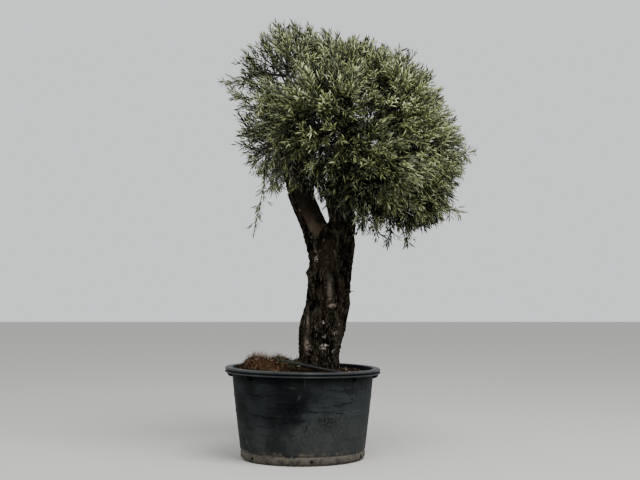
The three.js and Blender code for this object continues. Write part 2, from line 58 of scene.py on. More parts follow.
Material, Mesh, Object = bpy.types.Material, bpy.types.Mesh, bpy.types.Object

LOG = logging.getLogger("potted_tree")
BODY = "root"
FULL_TURN = 2 * math.pi
GOLDEN_TURN = math.pi * (3 - math.sqrt(5))
UP = Vector((0, 0, 1))


class Slot(Enum):
    """Names of four material slots; the crown pairs its leaves and twigs with two of them but sets nothing by
    it.
    """

    TUB = "tub"
    PEAT = "peat"
    BARK = "bark"
    LEAVES = "leaves"


# Numbers and curves


class RandomStream:
    """A repeatable stream of random numbers, the same as the solids use."""

    MASK = 0xFFFFFFFF
    STEP = 0x6D2B79F5

    def __init__(self, seed: int) -> None:
        """Start the stream that a seed stands for."""
        self.state = seed & self.MASK

    def __call__(self, low: float = 0, high: float = 1) -> float:
        """Draw the next number.

        Args:
            low: the least it may be.
            high: what it stays under.

        Returns:
            The number.
        """
        self.state = (self.state + self.STEP) & self.MASK
        state = self.state
        mixed = ((state ^ (state >> 15)) * (state | 1)) & self.MASK
        mixed ^= (mixed + (((mixed ^ (mixed >> 7)) * (mixed | 61)) & self.MASK)) & self.MASK
        share = ((mixed ^ (mixed >> 14)) & self.MASK) / (self.MASK + 1)
        return low + (high - low) * share

    def uneven(self, most: float) -> float:
        """Return a size near 1, at most this share larger or smaller."""
        return 1 + most * (2 * self() - 1)


def smoothstep(value: float, low: float, high: float) -> float:
    """Return 0 below low, 1 above high and a smooth step between."""
    share = min(max((value - low) / (high - low), 0.0), 1.0)
    return share * share * (3 - 2 * share)


def smooth_array(value: Array, low: object, high: object) -> Array:
    """Return the smooth step of every value."""
    share = np.clip((value - low) / (high - low), 0, 1)
    return share * share * (3 - 2 * share)


def square_to(direction: Vector) -> tuple[Vector, Vector]:
    """Return two directions at right angles to one, and to each other."""
    first = (UP if abs(direction.z) < 0.9 else Vector((1, 0, 0))).cross(direction).normalized()
    return first, direction.cross(first)


def leant(direction: Vector, angle: float, turn: float) -> Vector:
    """Return a direction leant away from another by an angle, at a turn round it."""
    first, second = square_to(direction)
    return direction * math.cos(angle) + (first * math.cos(turn) + second * math.sin(turn)) * math.sin(angle)


class Path:
    """A smooth line through points, measured along its length."""

    STEPS = 24
    SHORTEST = 1e-6
    LOOK_AHEAD = 0.02

    def __init__(self, points: Sequence[Vector]) -> None:
        """Draw the line.

        Args:
            points: what it passes, in order.
        """
        count = self.STEPS * (len(points) - 1) + 1
        self.spots = np.array([self.spot(points, i / self.STEPS) for i in range(count)])
        steps = np.linalg.norm(np.diff(self.spots, axis=0), axis=1)
        self.lengths = np.concatenate(([0.0], np.cumsum(steps)))

    @classmethod
    def spot(cls, points: Sequence[Vector], place: float) -> Vector:
        """Find a point of the centripetal Catmull-Rom curve through points.

        Args:
            points: what the curve passes.
            place: where on it, counted in points.

        Returns:
            The point there.
        """
        index = min(int(place), len(points) - 2)
        p1, p2 = points[index], points[index + 1]
        p0 = points[index - 1] if index > 0 else p1 * 2 - p2
        p3 = points[index + 2] if index + 2 < len(points) else p2 * 2 - p1
        d0, d1, d2 = (max((b - a).length, cls.SHORTEST) ** 0.5 for a, b in ((p0, p1), (p1, p2), (p2, p3)))
        m1 = ((p1 - p0) / d0 - (p2 - p0) / (d0 + d1) + (p2 - p1) / d1) * d1
        m2 = ((p2 - p1) / d1 - (p3 - p1) / (d1 + d2) + (p3 - p2) / d2) * d1
        t = place - index
        return (p1 * (2 * t**3 - 3 * t**2 + 1) + m1 * (t**3 - 2 * t**2 + t)
                + p2 * (3 * t**2 - 2 * t**3) + m2 * (t**3 - t**2))

    @property
    def length(self) -> float:
        """The whole length."""
        return float(self.lengths[-1])

    def point(self, share: float) -> Vector:
        """Return the point at a share of the length."""
        at = share * self.lengths[-1]
        return Vector([float(np.interp(at, self.lengths, self.spots[:, k])) for k in range(3)])

    def ahead(self, share: float) -> Vector:
        """Return the direction of the line at a share of the length."""
        before, after = max(share - self.LOOK_AHEAD, 0), min(share + self.LOOK_AHEAD, 1)
        return (self.point(after) - self.point(before)).normalized()


def arc(start: Vector, middle: Vector, end: Vector) -> Path:
    """Return a line from start to end that is drawn towards a middle point."""
    shares = (0, 0.25, 0.5, 0.75, 1)
    return Path([start * (1 - t) ** 2 + middle * (2 * t * (1 - t)) + end * t**2 for t in shares])


@dataclass
class Limb:
    """A tapering piece of wood: its line and its radius at a share of its length."""

    path: Path
    radius: Rule


# Meshes


class MeshParts:
    """Collects corners and faces of many small shapes for one object."""

    def __init__(self) -> None:
        """Start with nothing; faces and slots are kept apart by their number of sides."""
        self.corners: list[Array] = []
        self.faces: dict[int, list[Array]] = {3: [], 4: []}
        self.slots: dict[int, list[Array]] = {3: [], 4: []}
        self.count = 0

    def add(self, corners: Array, faces: Array, slot: int | Array = 0) -> None:
        """Add one shape.

        Args:
            corners: its corners, (n, 3).
            faces: its faces, (m, 3 or 4), which count from its first corner.
            slot: its material's number, or one for each face.
        """
        sides = faces.shape[1]
        self.corners.append(np.asarray(corners, dtype=np.float32))
        self.faces[sides].append(faces + self.count)
        self.slots[sides].append(np.broadcast_to(np.asarray(slot, dtype=np.int32), (len(faces),)))
        self.count += len(corners)

    def add_both(self, corners: Array, quads: Array, triangles: Array, slot: int = 0) -> None:
        """Add a shape that has quads and triangles on the same corners."""
        self.add(corners, quads, slot)
        self.add(corners[:0], triangles - len(corners), slot)

    def piece(self, name: str, materials: Iterable[Material], smooth: bool = True) -> Object:
        """Make one object of all that was added and link it to the scene.

        Args:
            name: its name.
            materials: its materials, in the order of their slots.
            smooth: whether its faces are shaded smooth.

        Returns:
            The object.
        """
        mesh = bpy.data.meshes.new(name)
        faces = [face for sides in (3, 4) for part in self.faces[sides] for face in part.tolist()]
        mesh.from_pydata(np.concatenate(self.corners).tolist(), [], faces)
        slots = np.concatenate(self.slots[3] + self.slots[4])
        mesh.polygons.foreach_set("material_index", slots.astype(np.int32))
        mesh.polygons.foreach_set("use_smooth", np.full(len(faces), smooth))
        mesh.validate()
        for material in materials:
            mesh.materials.append(material)
        return link(bpy.data.objects.new(name, mesh))


def link(added: Object) -> Object:
    """Link an object to the scene and return it."""
    bpy.context.scene.collection.objects.link(added)
    return added


def read_spots(rows: Sequence[object], key: str) -> Array:
    """Read what a mesh's corners or faces have under a key.

    Args:
        rows: the corners or faces.
        key: the key.

    Returns:
        The values, (n, 3).
    """
    flat = np.empty(3 * len(rows), dtype=np.float32)
    rows.foreach_get(key, flat)
    return flat.reshape(-1, 3)


def ring_turns(count: int) -> list[float]:
    """Return the turns of this many spots round a ring."""
    return [FULL_TURN * k / count for k in range(count)]


def tube(spots: Sequence[Vector], radii: Sequence[float], sides: int,
         shape: Callable[[float, float], float] | None = None) -> Shape:
    """Make a closed tube with rings square to its line.

    Args:
        spots: the middles of its rings.
        radii: the radius of each ring.
        sides: how many sides it has.
        shape: gives a factor on the radius at a share along and a turn round.

    Returns:
        Corners, quads of the wall and triangles of the two ends.
    """
    last = len(spots) - 1
    ahead = [(spots[min(i + 1, last)] - spots[max(i - 1, 0)]).normalized() for i in range(last + 1)]
    side = square_to(ahead[0])[0]
    corners = []
    for i, (spot, radius) in enumerate(zip(spots, radii)):
        side = (side - ahead[i] * side.dot(ahead[i])).normalized()
        other = ahead[i].cross(side)
        for turn in ring_turns(sides):
            size = radius * (shape(i / last, turn) if shape else 1)
            corners.append(spot + side * (size * math.cos(turn)) + other * (size * math.sin(turn)))
    corners += [spots[0], spots[-1]]
    return np.array(corners), *tube_faces(last + 1, sides)


def tube_faces(rings: int, sides: int) -> tuple[Array, Array]:
    """Make the faces of a closed tube whose corners are its rings and then its two ends.

    Args:
        rings: how many rings it has.
        sides: how many corners each ring has.

    Returns:
        The quads of its wall and the triangles of its ends.
    """
    steps = [(k, (k + 1) % sides) for k in range(sides)]
    count, top = rings * sides, (rings - 1) * sides
    quads = [(i + a, i + b, i + b + sides, i + a + sides) for i in range(0, top, sides) for a, b in steps]
    ends = [(count, b, a) for a, b in steps] + [(count + 1, top + a, top + b) for a, b in steps]
    return np.array(quads), np.array(ends)


def prism(low: Sequence[Vector], high: Sequence[Vector]) -> Shape:
    """Make a prism between two outlines.

    Args:
        low: the corners of one end.
        high: as many corners of the other end.

    Returns:
        Corners, quads of its sides and triangles of its two ends.
    """
    n = len(low)
    quads = [(i, (i + 1) % n, n + (i + 1) % n, n + i) for i in range(n)]
    ends = [(0, i + 1, i) for i in range(1, n - 1)] + [(n, n + i, n + i + 1) for i in range(1, n - 1)]
    return np.array([*low, *high]), np.array(quads), np.array(ends)


# Materials


@dataclass(frozen=True)
class Speckle:
    """Noise cut to a mask: clouds to the metre, detail, roughness, and the levels it starts and ends at."""

    scale: float
    detail: float
    rough: float
    low: float
    high: float


@dataclass(frozen=True)
class Patch:
    """An egg-shaped patch of a surface: middle, reach, soft share of its edge, strength and colour."""

    middle: Spot
    reach: Spot
    edge: float
    share: float
    tone: Colour


@dataclass
class NodeWriter:
    """Writes nodes into a tree, each call adding one; place gives the place on the object."""

    tree: NodeTree
    place: Socket

    def feed(self, socket: Socket, value: object) -> None:
        """Give an input its value.

        Args:
            socket: the input.
            value: a node's output, a number, or the parts of a colour or a place.
        """
        if isinstance(value, Socket):
            self.tree.links.new(value, socket)
        elif hasattr(socket.default_value, "__len__"):
            parts = tuple(value) if hasattr(value, "__len__") else (value,) * 3
            socket.default_value = (parts + (1.0,))[:len(socket.default_value)]
        else:
            socket.default_value = value

    def node(self, kind: str, inputs: dict[str | int, object], **settings: object) -> Node:
        """Add a node.

        Args:
            kind: its kind, without the word before it.
            inputs: what each input gets, by name or number.
            settings: the node's own properties.

        Returns:
            The node.
        """
        added = self.tree.nodes.new(f"ShaderNode{kind}")
        for key, value in settings.items():
            setattr(added, key, value)
        for key, value in inputs.items():
            self.feed(added.inputs[key], value)
        return added

    def noise(self, scale: object, detail: object = 4, rough: object = 0.55,
              at: Socket | None = None) -> Socket:
        """Return cloudy noise from 0 to 1; scale is how many clouds there are to the metre."""
        inputs = {"Vector": at or self.place, "Scale": scale, "Detail": detail, "Roughness": rough}
        return self.node("TexNoise", inputs).outputs["Fac"]

    def ramp(self, value: object, low: object, high: object, out: Span = (0, 1)) -> Socket:
        """Return value mapped by a smooth step from low..high to out, held at its ends."""
        inputs = {"Value": value, "From Min": low, "From Max": high, "To Min": out[0], "To Max": out[1]}
        return self.node("MapRange", inputs, interpolation_type="SMOOTHSTEP").outputs["Result"]

    def math(self, operation: str, a: object, b: object, clamp: bool = False) -> Socket:
        """Return one sum of two values, held from 0 to 1 if clamp is set."""
        return self.node("Math", {0: a, 1: b}, operation=operation, use_clamp=clamp).outputs["Value"]

    def product(self, *values: object) -> object:
        """Return the product of masks, some of which may be plain shares."""
        return reduce(lambda first, second: self.math("MULTIPLY", first, second), values)

    def vector(self, operation: str, *inputs: object, out: str = "Vector") -> Socket:
        """Return one sum of places, or with out set to Value, one measure of them."""
        return self.node("VectorMath", dict(enumerate(inputs)), operation=operation).outputs[out]

    def mix(self, share: object, under: object, over: object) -> Socket:
        """Return under where share is 0 and over where it is 1."""
        return self.node("Mix", {"Factor": share, "A": under, "B": over}, data_type="RGBA").outputs["Result"]

    def part(self, name: str) -> Socket:
        """Return one part, X, Y or Z, of the place on the object."""
        return self.node("SeparateXYZ", {"Vector": self.place}).outputs[name]


class GroupWriter(NodeWriter):
    """Writes one node group that several materials share; what it puts out is a mask."""

    def __init__(self, name: str, **sockets: str) -> None:
        """Start the group.

        Args:
            name: its name.
            sockets: its inputs beside the place, each with its kind.
        """
        tree = bpy.data.node_groups.new(name, "ShaderNodeTree")
        for key, kind in {"Place": "Vector", **sockets}.items():
            tree.interface.new_socket(key, in_out="INPUT", socket_type=f"NodeSocket{kind}")
        tree.interface.new_socket("Mask", in_out="OUTPUT", socket_type="NodeSocketFloat")
        self.given = tree.nodes.new("NodeGroupInput").outputs
        super().__init__(tree, self.given["Place"])

    def finish(self, mask: Socket) -> NodeTree:
        """Put out the mask and return the group."""
        self.feed(self.tree.nodes.new("NodeGroupOutput").inputs["Mask"], mask)
        return self.tree


def soft_patch() -> NodeTree:
    """Make the mask of an egg-shaped patch, 1 inside and 0 outside.

    Returns:
        The node group.
    """
    group = GroupWriter("soft_patch", Middle="Vector", Size="Vector", Edge="Float")
    away = group.vector("SUBTRACT", group.place, group.given["Middle"])
    shrunk = group.vector("DIVIDE", away, group.given["Size"])
    length = group.vector("LENGTH", shrunk, out="Value")
    return group.finish(group.ramp(length, group.given["Edge"], 1, (1, 0)))


def soft_stroke() -> NodeTree:
    """Make the mask of a straight scratch seen from the front, 1 along it and 0 at its width.

    Returns:
        The node group.
    """
    group = GroupWriter("soft_stroke", Start="Vector", End="Vector", Width="Float")
    given = group.given
    flat = group.vector("MULTIPLY", group.place, (1, 0, 1))
    away = group.vector("SUBTRACT", flat, given["Start"])
    line = group.vector("SUBTRACT", given["End"], given["Start"])
    along = group.vector("DOT_PRODUCT", away, line, out="Value")
    whole = group.vector("DOT_PRODUCT", line, line, out="Value")
    near = group.vector("MULTIPLY", line, group.math("DIVIDE", along, whole, clamp=True))
    off = group.vector("DISTANCE", away, near, out="Value")
    return group.finish(group.ramp(group.math("DIVIDE", off, given["Width"]), 0.35, 1, (1, 0)))


def speckle() -> NodeTree:
    """Make the mask of specks, clouds or stains: noise cut between two levels.

    Returns:
        The node group.
    """
    kinds = dict.fromkeys(("Scale", "Detail", "Roughness", "Low", "High"), "Float")
    group = GroupWriter("speckle", **kinds)
    given = group.given
    clouds = group.noise(given["Scale"], given["Detail"], given["Roughness"])
    return group.finish(group.ramp(clouds, given["Low"], given["High"]))


def front_shade() -> NodeTree:
    """Make the mask of the painted shade on the soil in front of the trunk.

    Returns:
        The node group.
    """
    group = GroupWriter("front_shade")
    depth = group.math("ADD", group.part("Y"), group.product(group.noise(9, 4, 0.6), 0.1))
    band = group.product(group.ramp(depth, -0.1, -0.17), group.ramp(depth, -0.32, -0.22))
    return group.finish(group.product(band, group.ramp(group.part("X"), -0.18, -0.05)))


class Shader(NodeWriter):
    """Writes one material: a colour with others laid over it, then its roughness, relief and gloss."""

    def __init__(self, name: str, dark: Colour, light: Colour) -> None:
        """Start the material.

        Args:
            name: its name.
            dark: its colour where the first mask is 0.
            light: its colour where that mask is 1.
        """
        self.material = bpy.data.materials.new(name)
        self.material.use_nodes = True
        tree = self.material.node_tree
        super().__init__(tree, tree.nodes.new("ShaderNodeTexCoord").outputs["Object"])
        self.dark, self.light = dark, light
        self.colour: object = dark

    def start(self, mask: object) -> "Shader":
        """Spread the light and the dark colour by a mask."""
        self.colour = self.mix(mask, self.dark, self.light)
        return self

    def grained(self, grain: Speckle) -> "Shader":
        """Spread the light and the dark colour by specks."""
        return self.start(self.speckle(grain))

    def lay(self, tone: Colour, *masks: object) -> None:
        """Lay a colour over the rest where all masks, some of which may be plain shares, are 1."""
        self.colour = self.mix(self.product(*masks), self.colour, tone)

    def lay_patch(self, patch: Patch, *masks: object) -> None:
        """Lay a patch's colour over the rest, cut by masks."""
        self.lay(patch.tone, self.patch(patch), *masks, patch.share)

    def shared(self, make: Callable[[], NodeTree], **inputs: object) -> Socket:
        """Return the mask of a node group that materials share; the function that makes it has its name."""
        group = bpy.data.node_groups.get(make.__name__) or make()
        return self.node("Group", {"Place": self.place, **inputs}, node_tree=group).outputs["Mask"]

    def speckle(self, grain: Speckle, at: Socket | None = None) -> Socket:
        """Return a mask of specks, clouds or stains, read at a place."""
        return self.shared(speckle, Place=at or self.place, Scale=grain.scale, Detail=grain.detail,
                           Roughness=grain.rough, Low=grain.low, High=grain.high)

    def patch(self, patch: Patch) -> Socket:
        """Return 1 inside a patch and 0 outside it."""
        return self.shared(soft_patch, Middle=patch.middle, Size=patch.reach, Edge=1 - patch.edge)

    def stretched(self, scale: Spot) -> Socket:
        """Return the place on the object, scaled by axis."""
        return self.node("Mapping", {"Vector": self.place, "Scale": scale}).outputs["Vector"]

    def wavering(self, scale: float, most: float) -> Socket:
        """Return the place, moved at most this far by noise with this many waves to the metre."""
        cloud = self.node("TexNoise", {"Vector": self.place, "Scale": scale}).outputs["Color"]
        return self.vector("ADD", self.place,
                           self.vector("MULTIPLY", self.vector("SUBTRACT", cloud, 0.5), 2 * most))

    def bump(self, height: object, depth: float, under: Socket | None = None) -> Socket:
        """Return a normal for a height from 0 to 1 that stands this deep on the relief under it."""
        inputs = {"Height": height, "Distance": depth} | ({"Normal": under} if under else {})
        return self.node("Bump", inputs).outputs["Normal"]

    def finish(self, rough: object, normal: Socket | None, gloss: float) -> Material:
        """Set the surface.

        Args:
            rough: its roughness.
            normal: the normal of its relief.
            gloss: how strong its plain reflection is.

        Returns:
            The material.
        """
        inputs = self.tree.nodes["Principled BSDF"].inputs
        self.feed(inputs["Base Color"], self.colour)
        self.feed(inputs["Roughness"], rough)
        self.feed(inputs["Specular IOR Level"], gloss)
        if normal:
            self.feed(inputs["Normal"], normal)
        return self.material


# Tub


@dataclass(frozen=True)
class TubSizes:
    """Sizes of the nursery tub.

    Its lines give how far in from a radius, and a height, for each corner. Dark scores and pale
    scuffs run over its front, from x and height to x and height, each with its width.
    """

    sides: int = 192
    height: float = 0.636
    wall: float = 0.008
    floor: float = 0.014
    rim_radius: float = 0.55
    rim_depth: float = 0.038
    rim_sag: float = 0.016
    neck_radius: float = 0.498
    neck_height: float = 0.586
    heel_radius: float = 0.441
    heel_height: float = 0.072
    foot_radius: float = 0.422
    foot_line: tuple[Span, ...] = ((0.006, 0.016), (0.003, 0.022), (0.002, 0.05), (0.004, 0.056),
                                   (0.008, 0.06), (0.007, 0.066))
    rim_line: tuple[Span, ...] = ((0.011, 0.002), (0.009, 0), (0.005, 0), (0.0015, 0.003), (0, 0.007),
                                  (0.002, 0.0105), (0.01, 0.012), (0.012, 0.0165), (0.01, 0.021),
                                  (0.002, 0.0225), (0.001, 0.027), (0.003, 0.032), (0.008, 0.0365))
    groove: Span = (0.01, 0.022)
    ring_heights: Span = (0.33, 0.44)
    ring_line: tuple[Span, ...] = ((-0.012, 0), (-0.005, 0.6), (0, 1), (0.005, 0.6), (0.012, 0))
    ring_rise: float = 0.0025
    gussets: int = 8
    gusset_thickness: float = 0.014
    drain_turns: tuple[float, ...] = (-2.455, -1.42, -0.4, 0.6, 1.65, 2.7)
    drain_height: float = 0.034
    drain_radius: float = 0.013
    drain_depth: float = 0.012
    drain_sides: int = 10
    scores: tuple[Stroke, ...] = (
        ((-0.36, 0.47), (-0.26, 0.455), 0.007), ((-0.22, 0.39), (-0.02, 0.385), 0.008),
        ((-0.1, 0.36), (0.1, 0.37), 0.008), ((0.1, 0.395), (0.22, 0.4), 0.006),
        ((0.22, 0.4), (0.37, 0.425), 0.006), ((0.16, 0.365), (0.27, 0.352), 0.009),
        ((0.27, 0.352), (0.25, 0.312), 0.006), ((0.25, 0.312), (0.16, 0.285), 0.005),
        ((-0.34, 0.33), (-0.12, 0.315), 0.008), ((-0.14, 0.29), (0.04, 0.31), 0.007),
        ((-0.3, 0.255), (-0.17, 0.265), 0.006), ((0.0, 0.22), (0.06, 0.29), 0.009),
        ((-0.4, 0.42), (-0.33, 0.3), 0.006), ((0.28, 0.53), (0.34, 0.44), 0.006),
        ((0.35, 0.54), (0.37, 0.46), 0.005), ((0.13, 0.525), (0.24, 0.51), 0.006),
    )
    scuffs: tuple[Stroke, ...] = (
        ((-0.285, 0.543), (-0.2, 0.54), 0.004), ((-0.13, 0.536), (-0.03, 0.532), 0.005),
        ((0.02, 0.585), (0.022, 0.545), 0.005), ((-0.03, 0.44), (-0.012, 0.47), 0.01),
        ((0.22, 0.345), (0.4, 0.36), 0.004), ((-0.4, 0.2), (-0.36, 0.09), 0.006),
    )

    def wall_radius(self, height: float) -> float:
        """Return the outer radius of the wall at a height."""
        share = (height - self.heel_height) / (self.neck_height - self.heel_height)
        return self.heel_radius + (self.neck_radius - self.heel_radius) * share

    def settled(self, corners: Array) -> Array:
        """Return corners (n, 3) lowered at +X and raised at -X, as the soft rim has settled."""
        slope = self.rim_sag / (2 * self.rim_radius * self.height)
        return corners - np.array((0, 0, slope)) * corners[:, :1] * corners[:, 2:]


@dataclass(frozen=True)
class TubFinish:
    """The tub's black plastic, worn, scored and dusty, with painted light and shade on its wall."""

    plastic: Colour = (0.0062, 0.007, 0.0073)
    # Paler worn plastic; laid towards the right it is also painted light.
    worn: Colour = (0.025, 0.029, 0.029)
    # Near black: the wall's dark marks, and its painted shade under the rim and towards the left.
    deep: Colour = (0.0008, 0.0012, 0.0022)
    scored: Colour = (0.0004, 0.0005, 0.0007)
    dust: Colour = (0.088, 0.078, 0.06)
    scuff: Colour = (0.085, 0.09, 0.088)
    rim: Colour = (0.009, 0.0098, 0.0102)
    # Painted shade in the drain holes' openings, flecked with a lighter brown.
    hole: tuple[Colour, Colour] = ((0.004, 0.004, 0.004), (0.02, 0.016, 0.012))
    gloss: float = 0.03
    rim_gloss: float = 0.25
    hole_gloss: float = 0.1
    rough: float = 0.52
    scored_share: float = 0.75
    scuff_share: float = 0.3
    middle: Patch = Patch((0.05, -0.47, 0.38), (0.26, 0.3, 0.15), 0.6, 0.65, deep)
    haze: Patch = Patch((0.2, -0.4, 0.2), (0.36, 0.4, 0.16), 0.3, 0.6, (0.05, 0.054, 0.05))
    haze_grain: Speckle = Speckle(70, 5, 0.75, 0.42, 0.66)
    gaps: Speckle = Speckle(38, 5, 0.75, 0.4, 0.54)
    specks: Speckle = Speckle(230, 2, 0.6, 0.5, 0.7)
    dirt: Speckle = Speckle(9, 6, 0.7, 0.42, 0.72)


@dataclass
class Tub:
    """The round tub with its bead rim, gussets and drain holes."""

    WALL, RIM, HOLE = range(3)
    INNER_RINGS = 5

    sizes: TubSizes = TubSizes()
    finish: TubFinish = TubFinish()

    def profile(self) -> list[Span]:
        """Draw the section of the wall.

        Returns:
            Radius and height of each corner, from the underside's middle round to the floor's.
        """
        s = self.sizes
        rim_foot = s.height - s.rim_depth
        rings = [(s.wall_radius(ring + step) + rise * s.ring_rise, ring + step)
                 for ring in s.ring_heights for step, rise in s.ring_line]
        inside = s.wall_radius(s.height - 0.006) - s.wall
        return [
            (0, 0), (0.2, 0), (s.foot_radius - 0.004, 0), (s.foot_radius, 0.002),
            *((s.heel_radius - inset, height) for inset, height in s.foot_line),
            *((s.wall_radius(height), height) for height in (s.heel_height, 0.08, 0.2)), *rings,
            *((s.wall_radius(height), height) for height in (0.55, s.neck_height, 0.626)),
            (s.rim_radius - 0.012, 0.627),
            *((s.rim_radius - inset, rim_foot + rise) for inset, rise in s.rim_line),
            (s.rim_radius - 0.015, s.height), (s.neck_radius + 0.014, s.height),
            (s.neck_radius + 0.005, s.height - 0.001), (inside + 0.001, s.height - 0.003),
            (inside, s.height - 0.007),
            *((s.wall_radius(height) - s.wall, height) for height in (0.5, 0.2, s.floor)), (0, s.floor),
        ]

    def wall_parts(self) -> MeshParts:
        """Make the turned wall, floor and rim, with the soft dents of a filled tub.

        Returns:
            Their corners and faces.
        """
        s = self.sizes
        profile = self.profile()
        turns = FULL_TURN * np.arange(s.sides) / s.sides
        rows = []
        for radius, height in profile[1:-1]:
            swell = smoothstep(height, 0.08, 0.3) * (1 - smoothstep(height, 0.45, 0.6))
            wave = 1 + swell * (0.0035 * np.cos(2 * turns + 0.6) + 0.0025 * np.cos(5 * turns + 1.9))
            rows.append(np.stack([radius * wave * np.cos(turns), radius * wave * np.sin(turns),
                                  np.full(s.sides, height)], axis=1))
        corners = np.concatenate(rows + [np.array([[0, 0, profile[0][1]], [0, 0, profile[-1][1]]])])
        parts = MeshParts()
        parts.add_both(s.settled(corners), *tube_faces(len(rows), s.sides))
        parts.slots[4][0] = self.wall_slots([height for _, height in profile[1:-1]])
        return parts

    def wall_slots(self, heights: list[float]) -> Array:
        """Deal the materials out to the wall's quads.

        Args:
            heights: the height of each ring of corners.

        Returns:
            The number of each quad's: the rim's above the neck but for its groove, which takes the wall's and
            with it the painted shade under the rim, else the wall's.
        """
        s = self.sizes
        rim_from = next(i for i, height in enumerate(heights) if height > s.neck_height + 0.03)
        slots = np.full((len(heights) - 1, s.sides), self.WALL, dtype=np.int32)
        slots[rim_from:len(heights) - self.INNER_RINGS] = self.RIM
        low, high = (s.height - s.rim_depth + rise for rise in s.groove)
        for i, height in enumerate(heights[:-1]):
            # The groove takes the wall's material, whose painted shade darkens it.
            if i > rim_from and low < height < high:
                slots[i] = self.WALL
        return slots.ravel()

    def add_gusset(self, parts: MeshParts, turn: float) -> None:
        """Add one upright plate between wall and rim.

        Args:
            parts: what it is added to.
            turn: where it stands round the tub.
        """
        s = self.sizes
        top = s.height - s.wall / 2 - 0.006
        outline = [(s.neck_radius - 0.006, s.neck_height - 0.026),
                   (s.neck_radius + 0.026, s.neck_height - 0.018),
                   (s.rim_radius - 0.0085, s.neck_height + 0.012), (s.rim_radius - 0.0085, top),
                   (s.neck_radius - 0.003, top)]
        ends = []
        for side in (-0.5, 0.5):
            ends.append([Vector((out, side * s.gusset_thickness, height)) for out, height in outline])
            for corner in ends[-1]:
                corner.rotate(Quaternion(UP, turn))
        corners, *faces = prism(*ends)
        parts.add_both(s.settled(corners), *faces)

    def add_drain_hole(self, parts: MeshParts, turn: float) -> None:
        """Add one dark disc, standing just off the foot, where a drain hole opens; its dark is painted shade
        inside the opening.

        Args:
            parts: what it is added to.
            turn: where it is round the tub.
        """
        s = self.sizes
        ahead = Vector((math.cos(turn), math.sin(turn), 0))
        middle = ahead * (s.heel_radius + 0.0002) + UP * s.drain_height
        ring = [middle + (UP.cross(ahead) * math.cos(t) + UP * math.sin(t)) * s.drain_radius
                for t in ring_turns(s.drain_sides)]
        parts.add_both(*prism([place - ahead * s.drain_depth for place in ring], ring), self.HOLE)

    def build(self) -> Object:
        """Make the tub.

        Returns:
            Its piece.
        """
        parts = self.wall_parts()
        for turn in ring_turns(self.sizes.gussets):
            self.add_gusset(parts, turn)
        for turn in self.sizes.drain_turns:
            self.add_drain_hole(parts, turn)
        piece = parts.piece("nursery_tub", [self.plastic("tub_wall", False), self.plastic("tub_rim", True),
                                            self.hole()])
        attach(piece, BODY)
        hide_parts("tub")
        return piece

    def plastic(self, name: str, rim: bool) -> Material:
        """Make the worn black plastic, with painted light and shade on the wall.

        Args:
            name: the material's name.
            rim: whether it is the glossier rim's, without the wall's marks and painted light and shade.

        Returns:
            The material.
        """
        f = self.finish
        shader = Shader(name, f.rim if rim else f.plastic, f.worn)
        clouds = shader.noise(5, 5, 0.6)
        fine = shader.noise(140, 3, 0.6)
        shader.start(shader.ramp(clouds, 0.38, 0.7))
        if not rim:
            self.shade_wall(shader, clouds)
            self.score_wall(shader)
            self.dust_wall(shader)
        rough = shader.ramp(fine, 0.2, 0.8, (f.rough - 0.06, f.rough + 0.14))
        relief = shader.bump(fine, 0.0006, shader.bump(clouds, 0.002))
        return shader.finish(rough, relief, f.rim_gloss if rim else f.gloss)

    def shade_wall(self, shader: Shader, clouds: Socket) -> None:
        """Lay the wall's painted shade under the rim and towards the left, its painted light towards the
        right, its dark patch, its bands and its streaks over its colour.

        Args:
            shader: the wall's material.
            clouds: its broad clouds.
        """
        f = self.finish
        height, across = shader.part("Z"), shader.part("X")
        right = shader.ramp(across, -0.1, 0.42)
        # Painted light: the wall is laid paler towards the right, where the light falls.
        shader.lay(f.worn, right, 0.75)
        # Painted shade under the rim: the neck, the gussets and the rim's groove are laid near black.
        shader.lay(f.deep, shader.ramp(height, 0.52, 0.596), 0.9)
        # Painted shade towards the left, with a wavering edge.
        left_shade_x = shader.math("ADD", across, shader.product(shader.noise(7, 5, 0.7), 0.3))
        shader.lay(f.deep, shader.ramp(left_shade_x, -0.6, -0.3), shader.ramp(left_shade_x, 0.26, 0.0),
                   shader.ramp(height, 0.16, 0.34), 0.35)
        shader.lay_patch(f.middle, shader.ramp(clouds, 0.42, 0.58, (1, 0)))
        bands = shader.noise(1.0, 5, 0.6, shader.stretched((2.2, 2.2, 34)))
        shader.lay(f.deep, shader.ramp(bands, 0.56, 0.66), 0.5)
        shader.lay(f.worn, shader.ramp(bands, 0.4, 0.3), 0.35)
        streaks = shader.noise(1.0, 4, 0.6, shader.stretched((38, 38, 3.5)))
        shader.lay(f.deep, shader.ramp(streaks, 0.55, 0.7), right, shader.ramp(height, 0.36, 0.58), 0.8)

    def score_wall(self, shader: Shader) -> None:
        """Lay the broken scratches and fine specks over the wall's front.

        Args:
            shader: the wall's material.
        """
        f = self.finish
        broken = shader.product(shader.speckle(f.gaps), shader.ramp(shader.part("Y"), -0.05, -0.15))
        wavering = shader.wavering(16, 0.022)
        for tone, share, strokes in ((f.scored, f.scored_share, self.sizes.scores),
                                     (f.scuff, f.scuff_share, self.sizes.scuffs)):
            for (x, z), (end_x, end_z), width in strokes:
                line = shader.shared(soft_stroke, Place=wavering, Start=(x, 0, z), End=(end_x, 0, end_z),
                                     Width=width)
                shader.lay(tone, line, broken, share)
        shader.lay(f.worn, shader.speckle(f.specks), 0.3)

